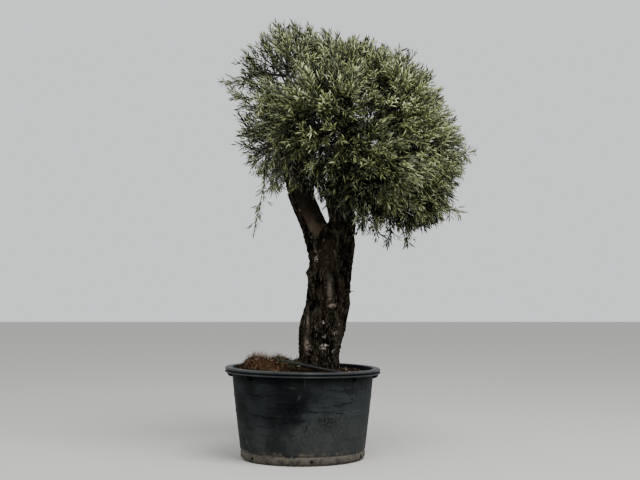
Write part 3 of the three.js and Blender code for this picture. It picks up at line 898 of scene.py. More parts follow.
    def dust_wall(self, shader: Shader) -> None:
        """Lay the haze, the dust and the dried earth of the foot over the wall.

        Args:
            shader: the wall's material.
        """
        f = self.finish
        height = shader.part("Z")
        shader.lay_patch(f.haze, shader.speckle(f.haze_grain))
        low = shader.product(shader.ramp(height, 0.1, 0.32, (1, 0)),
                             shader.ramp(shader.part("X"), -0.35, 0.1, (0.4, 1)))
        shader.lay(f.worn, low, 0.5)
        shader.lay(f.dust, low, shader.speckle(f.dirt), 0.28)
        ragged = shader.math("ADD", height, shader.product(shader.noise(20, 6, 0.75), 0.16))
        shader.lay(f.dust, shader.ramp(ragged, 0.14, 0.165, (1, 0)),
                   shader.ramp(shader.noise(26, 5, 0.7), 0.34, 0.58, (0.2, 1)), 0.9)

    def hole(self) -> Material:
        """Return the painted shade of the drain holes' openings, flecked with a lighter brown."""
        shader = Shader("drain_hole", *self.finish.hole)
        return shader.start(shader.noise(200)).finish(0.9, None, self.finish.hole_gloss)


# Soil


@dataclass(frozen=True)
class Heap:
    """One soft heap of peat."""

    x: float
    y: float
    wide: float
    deep: float
    rise: float


@dataclass(frozen=True)
class Strands:
    """One kind of strand on the soil: how many, how far out, how long, how far leant, how thick."""

    count: int
    reach: float
    length: Span
    lean: Span
    thick: float


class Litter(Enum):
    """The kinds of loose things on the soil, each with the number of its material."""

    PEAT_CRUMB = 0
    BARK_CHIP = 1
    PALE_CHIP = 2
    DRY_FIBRE = 3
    ROOT_FIBRE = 4
    MOSS_BLADE = 5


@dataclass(frozen=True)
class SoilSizes:
    """Sizes of the peat in the tub and of what lies on it."""

    level: float = 0.606
    edge: float = 0.4915
    bottom: float = 0.0145
    heaps: tuple[Heap, ...] = (Heap(-0.32, 0.0, 0.15, 0.27, 0.1), Heap(-0.165, 0.0, 0.13, 0.23, 0.098),
                               Heap(0.02, 0.04, 0.15, 0.2, 0.092), Heap(0.19, 0.0, 0.13, 0.17, 0.034))
    heap_edge: float = 0.485
    heap_shoulder: float = 0.385
    rings: int = 96
    sides: int = 224
    crumbs: int = 900
    crumb_reach: float = 0.478
    crumb_sizes: Span = (0.003, 0.007)
    crumb_flat: float = 0.7
    chips: float = 0.22
    pale_chips: float = 0.06
    chip_sizes: Span = (0.007, 0.014)
    chip_flat: float = 0.3
    fibres: Strands = Strands(1500, 0.47, (0.016, 0.061), (0.1, 1.3), 0.0008)
    wisps: Strands = Strands(170, 0.44, (0.03, 0.075), (0.1, 1.0), 0.0009)
    straws: Strands = Strands(60, 0.46, (0.03, 0.085), (1.45, 1.45), 0.0016)
    blades: Strands = Strands(150, 0.4, (0.02, 0.055), (0.5, 1.4), 0.0017)

    def height(self, x: float, y: float) -> float:
        """Find the height of the peat with its heaps, lumps and crumbs.

        Args:
            x: how far right.
            y: how far back.

        Returns:
            The height there.
        """
        out = math.hypot(x, y)
        heaped = max(h.rise * math.exp(-(((x - h.x) / h.wide) ** 2) - ((y - h.y) / h.deep) ** 2)
                     for h in self.heaps)
        smooth = self.level + heaped * (1 - smoothstep(out, self.heap_shoulder, self.heap_edge))
        lumps = noise.fractal(Vector((x, y, 0)) * 14, 1.0, 2.0, 5)
        crumbs = noise.fractal(Vector((x, y, 7)) * 70, 0.8, 2.1, 3)
        inner = 1 - smoothstep(out, self.edge - 0.03, self.edge)
        return smooth + inner * (0.012 * lumps + 0.005 * crumbs)


@dataclass(frozen=True)
class SoilFinish:
    """Colours of the peat, of its patches, of its painted shade and of the loose things on it, the dark and
    the light one.
    """

    peat: tuple[Colour, Colour] = ((0.004, 0.0022, 0.0016), (0.034, 0.016, 0.0075))
    grit: Colour = (0.01, 0.006, 0.005)
    # Painted shade on the peat along the tub's wall and in front of the trunk.
    damp: Colour = (0.001, 0.0008, 0.0007)
    # Painted shade on the loose things in front of the trunk.
    damp_litter: Colour = (0.002, 0.0015, 0.001)
    heap: Patch = Patch((-0.28, -0.05, 0.68), (0.26, 0.4, 0.2), 0.7, 0.6, (0.058, 0.024, 0.0095))
    heap_grain: Speckle = Speckle(34, 4, 0.6, 0.4, 0.6)
    moss: Patch = Patch((-0.07, -0.02, 0.69), (0.13, 0.2, 0.1), 0.6, 1, (0.045, 0.052, 0.024))
    moss_grain: Speckle = Speckle(30, 4, 0.6, 0.45, 0.6)
    litter_grain: Speckle = Speckle(45, 4, 0.6, 0.38, 0.68)
    gloss: float = 0.04
    litter_gloss: float = 0.03

    def litter(self, kind: Litter) -> tuple[Colour, Colour]:
        """Return the dark and the light colour of a kind of loose thing."""
        return {
            Litter.PEAT_CRUMB: ((0.003, 0.0018, 0.0014), (0.032, 0.0155, 0.008)),
            Litter.BARK_CHIP: ((0.022, 0.014, 0.009), (0.08, 0.052, 0.034)),
            Litter.PALE_CHIP: ((0.3, 0.24, 0.17), (0.5, 0.43, 0.33)),
            Litter.DRY_FIBRE: ((0.1, 0.064, 0.034), (0.26, 0.18, 0.1)),
            Litter.ROOT_FIBRE: ((0.006, 0.003, 0.002), (0.078, 0.034, 0.016)),
            Litter.MOSS_BLADE: ((0.022, 0.028, 0.013), (0.09, 0.1, 0.052)),
        }[kind]


@dataclass
class Soil:
    """The peat, with crumbs, fibres, straws and moss lying on it."""

    SEED = 31
    CRUMB = ((1, 0, 0.1), (0.4, 1, -0.1), (-0.6, 0.9, 0.15), (-1, -0.1, 0), (-0.5, -1, 0.1),
             (0.6, -0.8, -0.05), (0.05, 0.05, 1), (0, 0, -1))

    tub: TubSizes
    sizes: SoilSizes = SoilSizes()
    finish: SoilFinish = SoilFinish()
    random: RandomStream = field(default_factory=lambda: RandomStream(Soil.SEED))
    loose: MeshParts = field(default_factory=MeshParts)

    def ground_parts(self) -> MeshParts:
        """Make the closed body of peat with its rough top.

        Returns:
            Its corners and faces.
        """
        s = self.sizes
        turns = ring_turns(s.sides)
        corners: list[Spot] = []
        low_radius = self.tub.wall_radius(s.bottom) - self.tub.wall - 0.001
        for radius, height in ((low_radius, s.bottom), (s.edge, s.level)):
            corners += [(radius * math.cos(t), radius * math.sin(t), height) for t in turns]
        for ring in range(1, s.rings):
            radius = s.edge * (1 - ring / s.rings) ** 0.9
            for t in turns:
                x, y = radius * math.cos(t), radius * math.sin(t)
                corners.append((x, y, s.height(x, y)))
        corners += [(0, 0, s.bottom), (0, 0, s.height(0, 0))]
        parts = MeshParts()
        parts.add_both(self.tub.settled(np.array(corners)), *tube_faces(s.rings + 1, s.sides))
        return parts

    def spots(self, count: int, reach: float, keep: Choice) -> Iterable[Span]:
        """Choose random places on the peat, each when it is asked for.

        Args:
            count: how many.
            reach: how far from the middle they may be.
            keep: says whether a place is kept.

        Yields:
            The places, as x and y.
        """
        for _ in range(count):
            while True:
                x, y = self.random(-reach, reach), self.random(-reach, reach)
                if math.hypot(x, y) < reach and keep(x, y):
                    break
            yield x, y

    def add_crumb(self, x: float, y: float, size: float, kind: Litter, flat: float) -> None:
        """Add one chip or crumb: an eight-cornered lump pressed into the peat.

        Args:
            x: how far right.
            y: how far back.
            size: about half its width.
            kind: which kind it is.
            flat: its height as a share of its size.
        """
        turn = self.random(0, math.pi)
        long = size * self.random(1, 2.6)
        wide = size * self.random(0.5, 1)
        high = size * flat * self.random(0.6, 1.2)
        tilt = Quaternion(leant(UP, self.random(0, 0.5), self.random(0, 6)), turn)
        middle = Vector((x, y, self.sizes.height(x, y) + 0.3 * high))
        corners = [middle + tilt @ Vector((a * long, b * wide, c * high)) for a, b, c in self.CRUMB]
        faces = [(6, k, (k + 1) % 6) for k in range(6)] + [(7, (k + 1) % 6, k) for k in range(6)]
        self.loose.add(self.tub.settled(np.array(corners)), np.array(faces), kind.value)

    def add_strand(self, x: float, y: float, length: float, lean: float, thick: float, kind: Litter) -> None:
        """Add one bent fibre, straw or blade that rises from the peat.

        Args:
            x: how far right its foot is.
            y: how far back.
            length: its length.
            lean: how far it leans from upright, in radians.
            thick: its radius at the foot.
            kind: which kind it is.
        """
        start = Vector((x, y, self.sizes.height(x, y) - 0.003))
        ahead = leant(UP, lean, self.random(0, FULL_TURN))
        bend = leant(ahead, self.random(0.3, 1.0), self.random(0, FULL_TURN))
        knee = start + ahead * (0.55 * length)
        corners, quads, triangles = tube([start, knee, knee + bend * (0.45 * length)],
                                         (thick, 0.8 * thick, 0.4 * thick), 3)
        self.loose.add_both(self.tub.settled(corners), quads, triangles, kind.value)

    def strew(self, strands: Strands, kind: Litter, keep: Choice) -> None:
        """Add strands of one kind at random places.

        Args:
            strands: their sizes.
            kind: which kind they are.
            keep: says whether a place is kept.
        """
        low, high = strands.lean
        for x, y in self.spots(strands.count, strands.reach, keep):
            length = self.random(*strands.length)
            lean = self.random(low, high) if low < high else low
            self.add_strand(x, y, length, lean, strands.thick, kind)

    def scatter(self, free: Choice) -> None:
        """Lay all loose things on the peat.

        Args:
            free: says whether a place is clear of the trunk.
        """
        s, random = self.sizes, self.random
        for x, y in self.spots(s.crumbs, s.crumb_reach, free):
            chip = random() < s.chips
            size = random(*(s.chip_sizes if chip else s.crumb_sizes))
            kind = Litter.BARK_CHIP if chip else Litter.PEAT_CRUMB
            kind = Litter.PALE_CHIP if random() < s.pale_chips else kind
            self.add_crumb(x, y, size, kind, s.chip_flat if chip else s.crumb_flat)
        f = s.fibres
        for x, y in self.spots(f.count, f.reach, lambda a, b: free(a, b) and (a < -0.02 or random() < 0.1)):
            high = math.exp(-(((x + 0.3) / 0.16) ** 2)) * random(0.5, 1)
            length, lean = f.length[0] + (f.length[1] - f.length[0]) * high, random(*f.lean)
            kind = Litter.DRY_FIBRE if random() < 0.22 else Litter.ROOT_FIBRE
            self.add_strand(x, y, length, lean, f.thick, kind)
        self.strew(s.wisps, Litter.DRY_FIBRE,
                   lambda a, b: a < -0.12 and random() < math.exp(-(((a + 0.28) / 0.13) ** 2)))
        self.strew(s.straws, Litter.DRY_FIBRE, free)
        self.strew(s.blades, Litter.MOSS_BLADE,
                   lambda a, b: free(a, b) and (a + 0.09) ** 2 / 0.012 + (b + 0.05) ** 2 / 0.03 < 1)

    def build(self, free: Choice) -> list[Object]:
        """Make the peat and the loose things on it.

        Args:
            free: says whether a place is clear of the trunk.

        Returns:
            The two pieces.
        """
        ground = self.ground_parts().piece("peat_body", [self.peat()])
        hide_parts("root_ball")
        self.scatter(free)
        loose = self.loose.piece("soil_litter", [self.litter(kind) for kind in Litter], smooth=False)
        for piece in (ground, loose):
            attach(piece, BODY)
        return [ground, loose]

    def peat(self) -> Material:
        """Make the red-brown fibrous peat, with darker and greener patches and painted shade along the tub's
        wall and in front of the trunk.

        Returns:
            The material.
        """
        f = self.finish
        shader = Shader("peat", *f.peat)
        clouds = shader.noise(16, 6, 0.7)
        grains = shader.noise(220, 4, 0.7)
        shader.start(shader.ramp(clouds, 0.38, 0.66))
        shader.lay_patch(f.heap, shader.speckle(f.heap_grain))
        shader.lay(f.grit, shader.ramp(grains, 0.55, 0.75))
        shader.lay_patch(f.moss, shader.speckle(f.moss_grain))
        # Painted shade: the peat is laid darker towards the tub's wall and in front of the trunk.
        flat = shader.vector("MULTIPLY", shader.place, (1, 1, 0))
        edge = shader.ramp(shader.vector("LENGTH", flat, out="Value"), 0.4, 0.455)
        shader.lay(f.damp, shader.math("MAXIMUM", edge, shader.shared(front_shade)), 0.8)
        return shader.finish(0.95, shader.bump(grains, 0.004, shader.bump(clouds, 0.01)), f.gloss)

    def litter(self, kind: Litter) -> Material:
        """Make the material of one kind of loose thing, with painted shade in front of the trunk.

        Args:
            kind: which kind.

        Returns:
            The material.
        """
        f = self.finish
        shader = Shader(kind.name.lower(), *f.litter(kind)).grained(f.litter_grain)
        # Painted shade in front of the trunk.
        shader.lay(f.damp_litter, shader.shared(front_shade), 0.6)
        return shader.finish(0.9, shader.bump(shader.noise(300, 2, 0.6), 0.001), f.litter_gloss)


# Wood


@dataclass(frozen=True)
class Station:
    """The trunk's middle and half width, seen from the front, at one height."""

    height: float
    middle: float
    half_width: float


@dataclass(frozen=True)
class Flute:
    """One family of flutes round the trunk."""

    count: int
    share: float
    turns: float
    phase: float


@dataclass(frozen=True)
class Bulge:
    """A lump or hollow of the wood: its middle, its reach and how far it stands out."""

    middle: Spot
    reach: Spot
    rise: float

    def at(self, spots: Array) -> Array:
        """Return how far each spot (n, 3) is pushed out."""
        away = (spots - np.array(self.middle)) / np.array(self.reach)
        return self.rise * np.exp(-np.sum(away**2, axis=1))


@dataclass(frozen=True)
class ForkLimb:
    """One limb of the fork: the points its middle passes and its radii there."""

    passes: tuple[Spot, ...]
    radii: tuple[float, ...]

    def limb(self) -> Limb:
        """Return the limb's line and taper."""
        shares = np.linspace(0, 1, len(self.radii))
        return Limb(Path([Vector(place) for place in self.passes]),
                    lambda share: float(np.interp(share, shares, self.radii)))


@dataclass(frozen=True)
class BareSizes:
    """Where the bark is gone: over a slanting line up the left limb's front, and thinly on a low strip."""

    from_height: float = 1.44
    slant: float = 1.4
    slant_from: float = 0.02
    to_height: float = 2.15
    right_end: float = 0.16
    left_end: float = 0.035
    edge: float = 0.02
    waver: float = 0.035
    waves: float = 9
    low: Bulge = Bulge((0.028, 0, 0.795), (0.024, 1, 0.07), 0.48)


@dataclass(frozen=True)
class TrunkSizes:
    """Sizes of the trunk, of its boughs and of the relief of its bark."""

    stations: tuple[Station, ...] = (
        Station(0.612, 0.112, 0.153), Station(0.69, 0.114, 0.143), Station(0.8, 0.124, 0.153),
        Station(0.93, 0.144, 0.165), Station(1.08, 0.177, 0.157), Station(1.24, 0.193, 0.151),
        Station(1.4, 0.202, 0.157), Station(1.53, 0.19, 0.174), Station(1.6, 0.183, 0.176),
        Station(1.648, 0.17, 0.118),
    )
    depth: float = 0.9
    fork_depth: float = 0.56
    fork_starts: float = 1.34
    flutes: tuple[Flute, ...] = (Flute(3, 0.035, 0.25, 0.6), Flute(5, 0.03, -0.15, 2.1),
                                 Flute(8, 0.02, 0.1, 4.0))
    rings: int = 70
    sides: int = 72
    limb_rings: int = 40
    limb_sides: int = 36
    bough_rings: int = 16
    bough_sides: int = 16
    bough_base: float = 0.52
    bough_tip: float = 0.017
    bough_rise: float = 0.07
    bough_sunk: float = 0.05
    stub: tuple[Spot, Spot] = ((0.33, -0.03, 1.168), (0.368, -0.035, 1.171))
    stub_radii: Span = (0.011, 0.007)
    stub_sides: int = 8
    foot_height: float = 0.66
    foot_margin: float = 0.012
    voxel: float = 0.0062
    lumps: float = 0.010
    plates: float = 0.0075
    crack: float = 0.28
    grain: float = 0.003
    thin_from: float = 2.05
    thin_share: float = 0.45
    bare: BareSizes = BareSizes()
    bulges: tuple[Bulge, ...] = (
        Bulge((0.032, -0.02, 1.305), (0.03, 0.05, 0.026), 0.022),
        Bulge((0.212, -0.145, 1.066), (0.032, 0.05, 0.026), 0.016),
        Bulge((0.229, -0.15, 1.23), (0.016, 0.06, 0.085), -0.022),
        Bulge((0.15, -0.13, 0.79), (0.035, 0.06, 0.12), -0.014),
        Bulge((0.04, -0.1, 0.8), (0.045, 0.08, 0.1), 0.012),
        Bulge((0.3, -0.08, 1.47), (0.016, 0.08, 0.14), -0.016),
        Bulge((0.02, -0.06, 0.86), (0.03, 0.06, 0.03), 0.01),
    )


LIMBS: dict[str, ForkLimb] = {
    "left": ForkLimb(((0.15, 0, 1.495), (0.062, 0, 1.665), (-0.012, -0.006, 1.842), (-0.066, -0.02, 2.01),
                      (-0.092, -0.038, 2.23), (-0.108, -0.052, 2.47)),
                     (0.096, 0.092, 0.086, 0.074, 0.056, 0.036)),
    "right": ForkLimb(((0.268, 0.004, 1.495), (0.272, 0.004, 1.69), (0.246, 0.008, 1.85),
                       (0.262, 0.022, 2.04), (0.312, 0.042, 2.25), (0.33, 0.052, 2.47)),
                      (0.098, 0.093, 0.084, 0.072, 0.054, 0.034)),
}


@dataclass(frozen=True)
class BarkFinish:
    """The bark's colours, its darker and paler areas, the painted shade in its cracks, hollows and slit and
    under a lump, and the worn and spotted patches on them.
    """

    bark: tuple[Colour, Colour] = ((0.0008, 0.0007, 0.0006), (0.038, 0.033, 0.023))
    brown: Colour = (0.02, 0.013, 0.009)
    green: Colour = (0.02, 0.023, 0.012)
    # Painted shade in the cracks between the bark's plates.
    crack: Colour = (0.001, 0.0009, 0.0007)
    fleck: Colour = (0.2, 0.172, 0.132)
    worn: Colour = (0.17, 0.13, 0.1)
    lichen: Colour = (0.3, 0.27, 0.24)
    stretch: Spot = (1, 1, 0.36)
    browns: Speckle = Speckle(5, 4, 0.6, 0.5, 0.68)
    greens: Speckle = Speckle(12, 5, 0.65, 0.54, 0.66)
    flecks: Speckle = Speckle(64, 5, 0.75, 0.56, 0.66)
    fleck_groups: Speckle = Speckle(13, 4, 0.65, 0.42, 0.6)
    worn_grain: Speckle = Speckle(34, 5, 0.7, 0.36, 0.52)
    spots: Speckle = Speckle(85, 2, 0.5, 0.5, 0.56)
    areas: tuple[Patch, ...] = (
        Patch((0.17, -0.16, 1.43), (0.13, 0.12, 0.2), 0.7, 0.85, (0.024, 0.018, 0.011)),
        # Painted shade over the hollow low on the front.
        Patch((0.15, -0.14, 0.93), (0.055, 0.1, 0.17), 0.7, 0.85, (0.001, 0.001, 0.001)),
        Patch((0.255, -0.12, 0.82), (0.05, 0.1, 0.2), 0.7, 0.85, (0.034, 0.03, 0.023)),
        Patch((0.19, -0.15, 1.2), (0.03, 0.12, 0.13), 0.7, 0.85, (0.062, 0.058, 0.045)),
        # Painted shadow under the lump just above it.
        Patch((0.19, -0.15, 1.02), (0.07, 0.1, 0.026), 0.7, 0.85, (0.0008, 0.0008, 0.0008)),
        # Painted shade down the trunk's right flank and its furrow.
        Patch((0.33, -0.08, 1.3), (0.05, 0.1, 0.4), 0.7, 0.85, (0.002, 0.0017, 0.0013)),
    )
    # Painted shade inside the slit, over the hollow there.
    slit: Patch = Patch((0.233, -0.15, 1.21), (0.019, 0.12, 0.1), 0.7, 1, (0.0005, 0.0005, 0.0005))
    worn_patches: tuple[Patch, ...] = (
        Patch((0.028, -0.1, 0.79), (0.026, 0.1, 0.085), 0.7, 1, worn),
        Patch((0.036, -0.1, 0.96), (0.014, 0.1, 0.14), 0.7, 0.4, worn),
        Patch((0.19, -0.15, 1.165), (0.024, 0.1, 0.085), 0.7, 0.45, worn),
        Patch((0.207, -0.15, 1.07), (0.038, 0.1, 0.022), 0.7, 1, worn),
    )
    spotted: tuple[Patch, ...] = (
        Patch((0.143, -0.14, 0.952), (0.014, 0.1, 0.018), 0.5, 1, lichen),
        Patch((0.152, -0.14, 0.855), (0.022, 0.1, 0.014), 0.5, 1, lichen),
        Patch((0.155, -0.14, 0.785), (0.04, 0.1, 0.03), 0.5, 1, lichen),
        Patch((0.225, -0.14, 0.885), (0.024, 0.1, 0.028), 0.5, 1, lichen),
        Patch((0.215, -0.14, 0.75), (0.016, 0.1, 0.03), 0.5, 1, lichen),
        Patch((0.095, -0.14, 1.395), (0.02, 0.1, 0.03), 0.5, 1, lichen),
    )
    rough: float = 0.95


@dataclass(frozen=True)
class BareFinish:
    """The smooth light-brown wood where the bark is gone, laid darker upwards as painted shade under the
    crown.
    """

    wood: tuple[Colour, Colour] = ((0.032, 0.0245, 0.015), (0.078, 0.058, 0.036))
    stain: Colour = (0.014, 0.011, 0.007)
    # Painted shade of the crown on the limb's upper part.
    high: Colour = (0.0035, 0.0028, 0.002)
    mottle: Colour = (0.01, 0.008, 0.005)
    stretch: Spot = (110, 110, 12)
    stains: Speckle = Speckle(11, 5, 0.6, 0.48, 0.68)
    mottles: Speckle = Speckle(38, 4, 0.6, 0.42, 0.58)
    rough: float = 0.8
    gloss: float = 0.08


@dataclass
class Space:
    """The space of one mass of foliage."""

    name: str
    limb: str
    bough_at: float
    core: float
    heart: Vector
    reach: Vector
    sprigs: tuple[Spot, ...] = ()
    drapes: tuple[Spot, ...] = ()
    tufts: tuple[Spot, ...] = ()
    seed: int = 0
    bough: Limb | None = None

    @property
    def size(self) -> float:
        """The mean reach."""
        return sum(self.reach) / 3

    @property
    def open(self) -> bool:
        """Whether the sky shows through the mass."""
        return self.core < 0.5

    def share_at(self, spot: Vector) -> float:
        """Return how far out a spot lies: 0 at the heart, 1 on the space's skin."""
        away = spot - self.heart
        return math.hypot(away.x / self.reach.x, away.y / self.reach.y, away.z / self.reach.z)

    def skin(self, direction: Vector, share: float = 1) -> Vector:
        """Return the point at a share of the reach in a direction from the heart."""
        x, y, z = (part / most for part, most in zip(direction, self.reach))
        return self.heart + direction * (share / math.hypot(x, y, z))


def make_spaces() -> list[Space]:
    """Make the spaces of all the masses of foliage, as the solids have them.

    Returns:
        The spaces, each with its limb, where on it its bough leaves, the core's share of its reach,
        its heart and reach, and the tips of its sprigs, drapes and tufts.
    """
    rows = (
        ("upper_left", "left", 0, 0.44, (-0.105, -0.04, 2.735), (0.355, 0.38, 0.345),
         ((-0.622, -0.06, 2.648), (0.07, -0.05, 3.068)), (),
         ((-0.17, -0.08, 3.04), (-0.1, 0.05, 3.05), (-0.02, -0.12, 3.03), (0.04, 0.05, 3.02),
          (-0.28, -0.05, 2.95), (-0.36, -0.08, 2.89), (-0.43, -0.04, 2.83), (-0.43, 0.05, 2.74),
          (-0.45, -0.1, 2.66), (-0.52, -0.06, 2.6), (-0.47, -0.12, 2.54), (-0.45, 0.02, 2.5))),
        ("left", "left", 0.3, 0.42, (-0.218, -0.03, 2.27), (0.24, 0.39, 0.345), ((-0.352, -0.09, 1.535),),
         ((-0.21, -0.25, 1.86), (-0.15, -0.27, 1.9), (-0.09, -0.28, 1.93), (-0.27, -0.2, 1.95),
          (-0.2, -0.12, 1.88)),
         ((-0.45, -0.08, 2.42), (-0.43, 0.06, 2.32), (-0.42, -0.05, 2.22))),
        ("top", "right", 0, 0.56, (0.33, 0.03, 2.68), (0.37, 0.4, 0.315), (), (),
         ((0.16, -0.06, 3.01), (0.25, 0.03, 2.99), (0.36, -0.08, 2.96), (0.46, -0.02, 2.96),
          (0.57, -0.06, 2.9))),
        ("upper_right", "right", 0.7, 0.56, (0.655, 0, 2.49), (0.335, 0.4, 0.35),
         ((0.69, -0.04, 2.948),), (),
         ((0.75, -0.05, 2.86), (0.77, 0.02, 2.78), (0.91, -0.05, 2.72), (0.98, 0.03, 2.6))),
        ("right", "right", 0.45, 0.56, (0.85, 0.01, 2.17), (0.31, 0.42, 0.37), ((1.25, -0.04, 2.16),)),
        ("lower_right", "right", 0.26, 0.54, (0.735, -0.04, 1.87), (0.335, 0.41, 0.3),
         ((1.172, -0.08, 1.715), (0.735, -0.12, 1.446)),
         ((0.43, -0.15, 1.58), (0.51, -0.2, 1.54), (0.6, -0.12, 1.5))),
        ("front", "left", 0.46, 0.56, (0.185, -0.37, 2.335), (0.43, 0.37, 0.475), (),
         ((-0.06, -0.34, 1.92), (-0.01, -0.3, 1.89), (0.04, -0.36, 1.86), (0.08, -0.33, 1.84),
          (0.1, -0.38, 1.9), (0.13, -0.34, 1.8), (0.16, -0.37, 1.84), (0.19, -0.35, 1.76),
          (0.22, -0.4, 1.8), (0.24, -0.34, 1.72))),
        ("lower_front", "right", 0.36, 0.55, (0.48, -0.36, 1.99), (0.35, 0.37, 0.32),
         ((0.515, -0.38, 1.548), (0.385, -0.25, 1.565)),
         ((0.27, -0.38, 1.72), (0.3, -0.33, 1.68), (0.34, -0.36, 1.64), (0.38, -0.4, 1.66))),
        ("back_left", "left", 0.56, 0.56, (0.01, 0.37, 2.34), (0.43, 0.37, 0.45)),
        ("back_right", "right", 0.54, 0.56, (0.52, 0.39, 2.21), (0.43, 0.36, 0.5)),
    )
    first_seed = 101
    return [Space(name, limb, at, core, Vector(heart), Vector(reach), *hung, seed=first_seed + i)
            for i, (name, limb, at, core, heart, reach, *hung) in enumerate(rows)]


@dataclass
class Wood:
    """Trunk, limbs and boughs, as one mesh with the bark's relief, under their masses of foliage."""

    spaces: list[Space]
    sizes: TrunkSizes = TrunkSizes()
    finish: BarkFinish = BarkFinish()
    bare: BareFinish = BareFinish()

    def __post_init__(self) -> None:
        """Set out the limbs and the trunk's course, and give each mass its bough."""
        self.limbs = {name: row.limb() for name, row in LIMBS.items()}
        self.course = Path([Vector((s.middle, s.half_width, s.height)) for s in self.sizes.stations])
        for space in self.spaces:
            space.bough = self.bough_of(space) if space.bough_at else None

    @property
    def boughs(self) -> dict[str, Limb]:
        """The boughs, by the names of the masses that they carry."""
        return {space.name: space.bough for space in self.spaces if space.bough}

    def bough_of(self, space: Space) -> Limb:
        """Draw the bough from a limb up into the mass that it carries.

        Args:
            space: the mass.

        Returns:
            The bough.
        """
        s = self.sizes
        limb = self.limbs[space.limb]
        start = limb.path.point(space.bough_at)
        base = s.bough_base * limb.radius(space.bough_at)
        tip = space.skin((start - space.heart).normalized(), space.core - s.bough_sunk)
        middle = start.lerp(tip, 0.5) + UP * s.bough_rise
        return Limb(arc(start, middle, tip), lambda share: base + (s.bough_tip - base) * share)

    def carrier(self, space: Space) -> Limb:
        """Return the limb or bough whose tip carries a mass."""
        return space.bough or self.limbs[space.limb]

    def ring_at(self, height: float) -> Spot:
        """Measure the trunk at a height.

        Args:
            height: the height.

        Returns:
            Its middle, half width and half depth there.
        """
        s = self.sizes
        spots = self.course.spots
        middle, half = (float(np.interp(height, spots[:, 2], spots[:, k])) for k in (0, 1))
        fork = smoothstep(height, s.fork_starts, s.stations[-1].height)
        return middle, half, half * (s.depth + (s.fork_depth - s.depth) * fork)

    def clear_of_trunk(self, x: float, y: float) -> bool:
        """Return whether a place on the soil is outside the trunk's foot."""
        (middle, wide, deep), margin = self.ring_at(self.sizes.foot_height), self.sizes.foot_margin
        return math.hypot((x - middle) / (wide + margin), y / (deep + margin)) > 1

    def trunk_tube(self) -> Shape:
        """Make the smooth fluted trunk.

        Returns:
            Corners, quads of the wall and triangles of the two ends.
        """
        s = self.sizes
        low, high = s.stations[0].height, s.stations[-1].height
        corners = []
        for i in range(s.rings):
            share = i / (s.rings - 1)
            height = low + (high - low) * share
            middle, wide, deep = self.ring_at(height)
            for turn in ring_turns(s.sides):
                fluted = 1 + sum(f.share * math.cos(f.count * turn + f.phase + FULL_TURN * f.turns * share)
                                 for f in s.flutes)
                corners.append((middle + wide * fluted * math.cos(turn),
                                deep * fluted * math.sin(turn), height))
        corners += [(self.ring_at(low)[0], 0, low), (self.ring_at(high)[0], 0, high)]
        return np.array(corners), *tube_faces(s.rings, s.sides)

    def limb_tube(self, limb: Limb, rings: int, sides: int, phase: float) -> Shape:
        """Return the tube of one limb, a little uneven round its line, turned by a phase."""
        shares = [i / (rings - 1) for i in range(rings)]
        return tube([limb.path.point(s) for s in shares], [limb.radius(s) for s in shares], sides,
                    lambda share, turn: (1 + 0.035 * math.cos(3 * turn + phase + 4 * share)
                                         + 0.03 * math.cos(5 * turn - 3 * share)))

    def build(self) -> Object:
        """Make the wood: fused, relieved and split into bark and bare wood.

        Returns:
            Its piece.
        """
        s = self.sizes
        parts = MeshParts()
        parts.add_both(*self.trunk_tube())
        for i, limb in enumerate(self.limbs.values()):
            parts.add_both(*self.limb_tube(limb, s.limb_rings, s.limb_sides, 1.3 * i))
        for i, bough in enumerate(self.boughs.values()):
            parts.add_both(*self.limb_tube(bough, s.bough_rings, s.bough_sides, 0.7 * i))
        parts.add_both(*tube([Vector(end) for end in s.stub], s.stub_radii, s.stub_sides))
        piece = parts.piece("bark", [])
        self.fuse(piece)
        mesh = piece.data
        self.relieve(mesh)
        for material in (self.bark(), self.bare_wood()):
            mesh.materials.append(material)
        bare = self.bareness(read_spots(mesh.polygons, "center")) > 0.5
        mesh.polygons.foreach_set("material_index", bare.astype(np.int32))
        mesh.polygons.foreach_set("use_smooth", np.full(len(mesh.polygons), True))
        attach(piece, BODY)
        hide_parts("trunk", *(f"{name}_limb" for name in self.limbs),
                    *(f"{name}_bough" for name in self.boughs))
        return piece

    def fuse(self, piece: Object) -> None:
        """Fuse a piece's tubes into one skin and put it into its mesh.

        Args:
            piece: the wood's piece.
        """
        remesh = piece.modifiers.new("fuse", "REMESH")
        remesh.mode = "VOXEL"
        remesh.voxel_size = self.sizes.voxel
        ready = piece.evaluated_get(bpy.context.evaluated_depsgraph_get())
        mesh = bpy.data.meshes.new_from_object(ready)
        name, old = piece.data.name, piece.data
        piece.modifiers.clear()
        piece.data = mesh
        bpy.data.meshes.remove(old)
        mesh.name = name

    def bareness(self, spots: Array) -> Array:
        """Say how bare of bark the wood is.

        Args:
            spots: spots on the wood, (n, 3).

        Returns:
            A level for each spot, over 0.5 where it is bare.
        """
        b = self.sizes.bare
        x, y, z = spots.T
        left = self.limbs["left"].path
        waver = np.array([noise.noise(Vector(spot) * b.waves) for spot in spots])
        line = b.from_height + b.slant * np.clip(x - b.slant_from, 0, 1) + b.waver * waver
        side = np.interp(z, left.spots[:, 2], left.spots[:, 0]) - b.left_end - 0.012 * waver
        upper = smooth_array(z, line - b.edge / 2, line + b.edge) * smooth_array(x, side - b.edge, side)
        upper *= smooth_array(-y, -0.02, 0.03) * (x < b.right_end) * (z < b.to_height)
        (low_x, _, low_z), (wide, _, tall) = b.low.middle, b.low.reach
        away = ((x - low_x - 0.006 * waver) / wide) ** 2 + ((z - low_z) / tall) ** 2
        return np.maximum(upper, b.low.rise * np.exp(-(away**2)) * (y < 0))

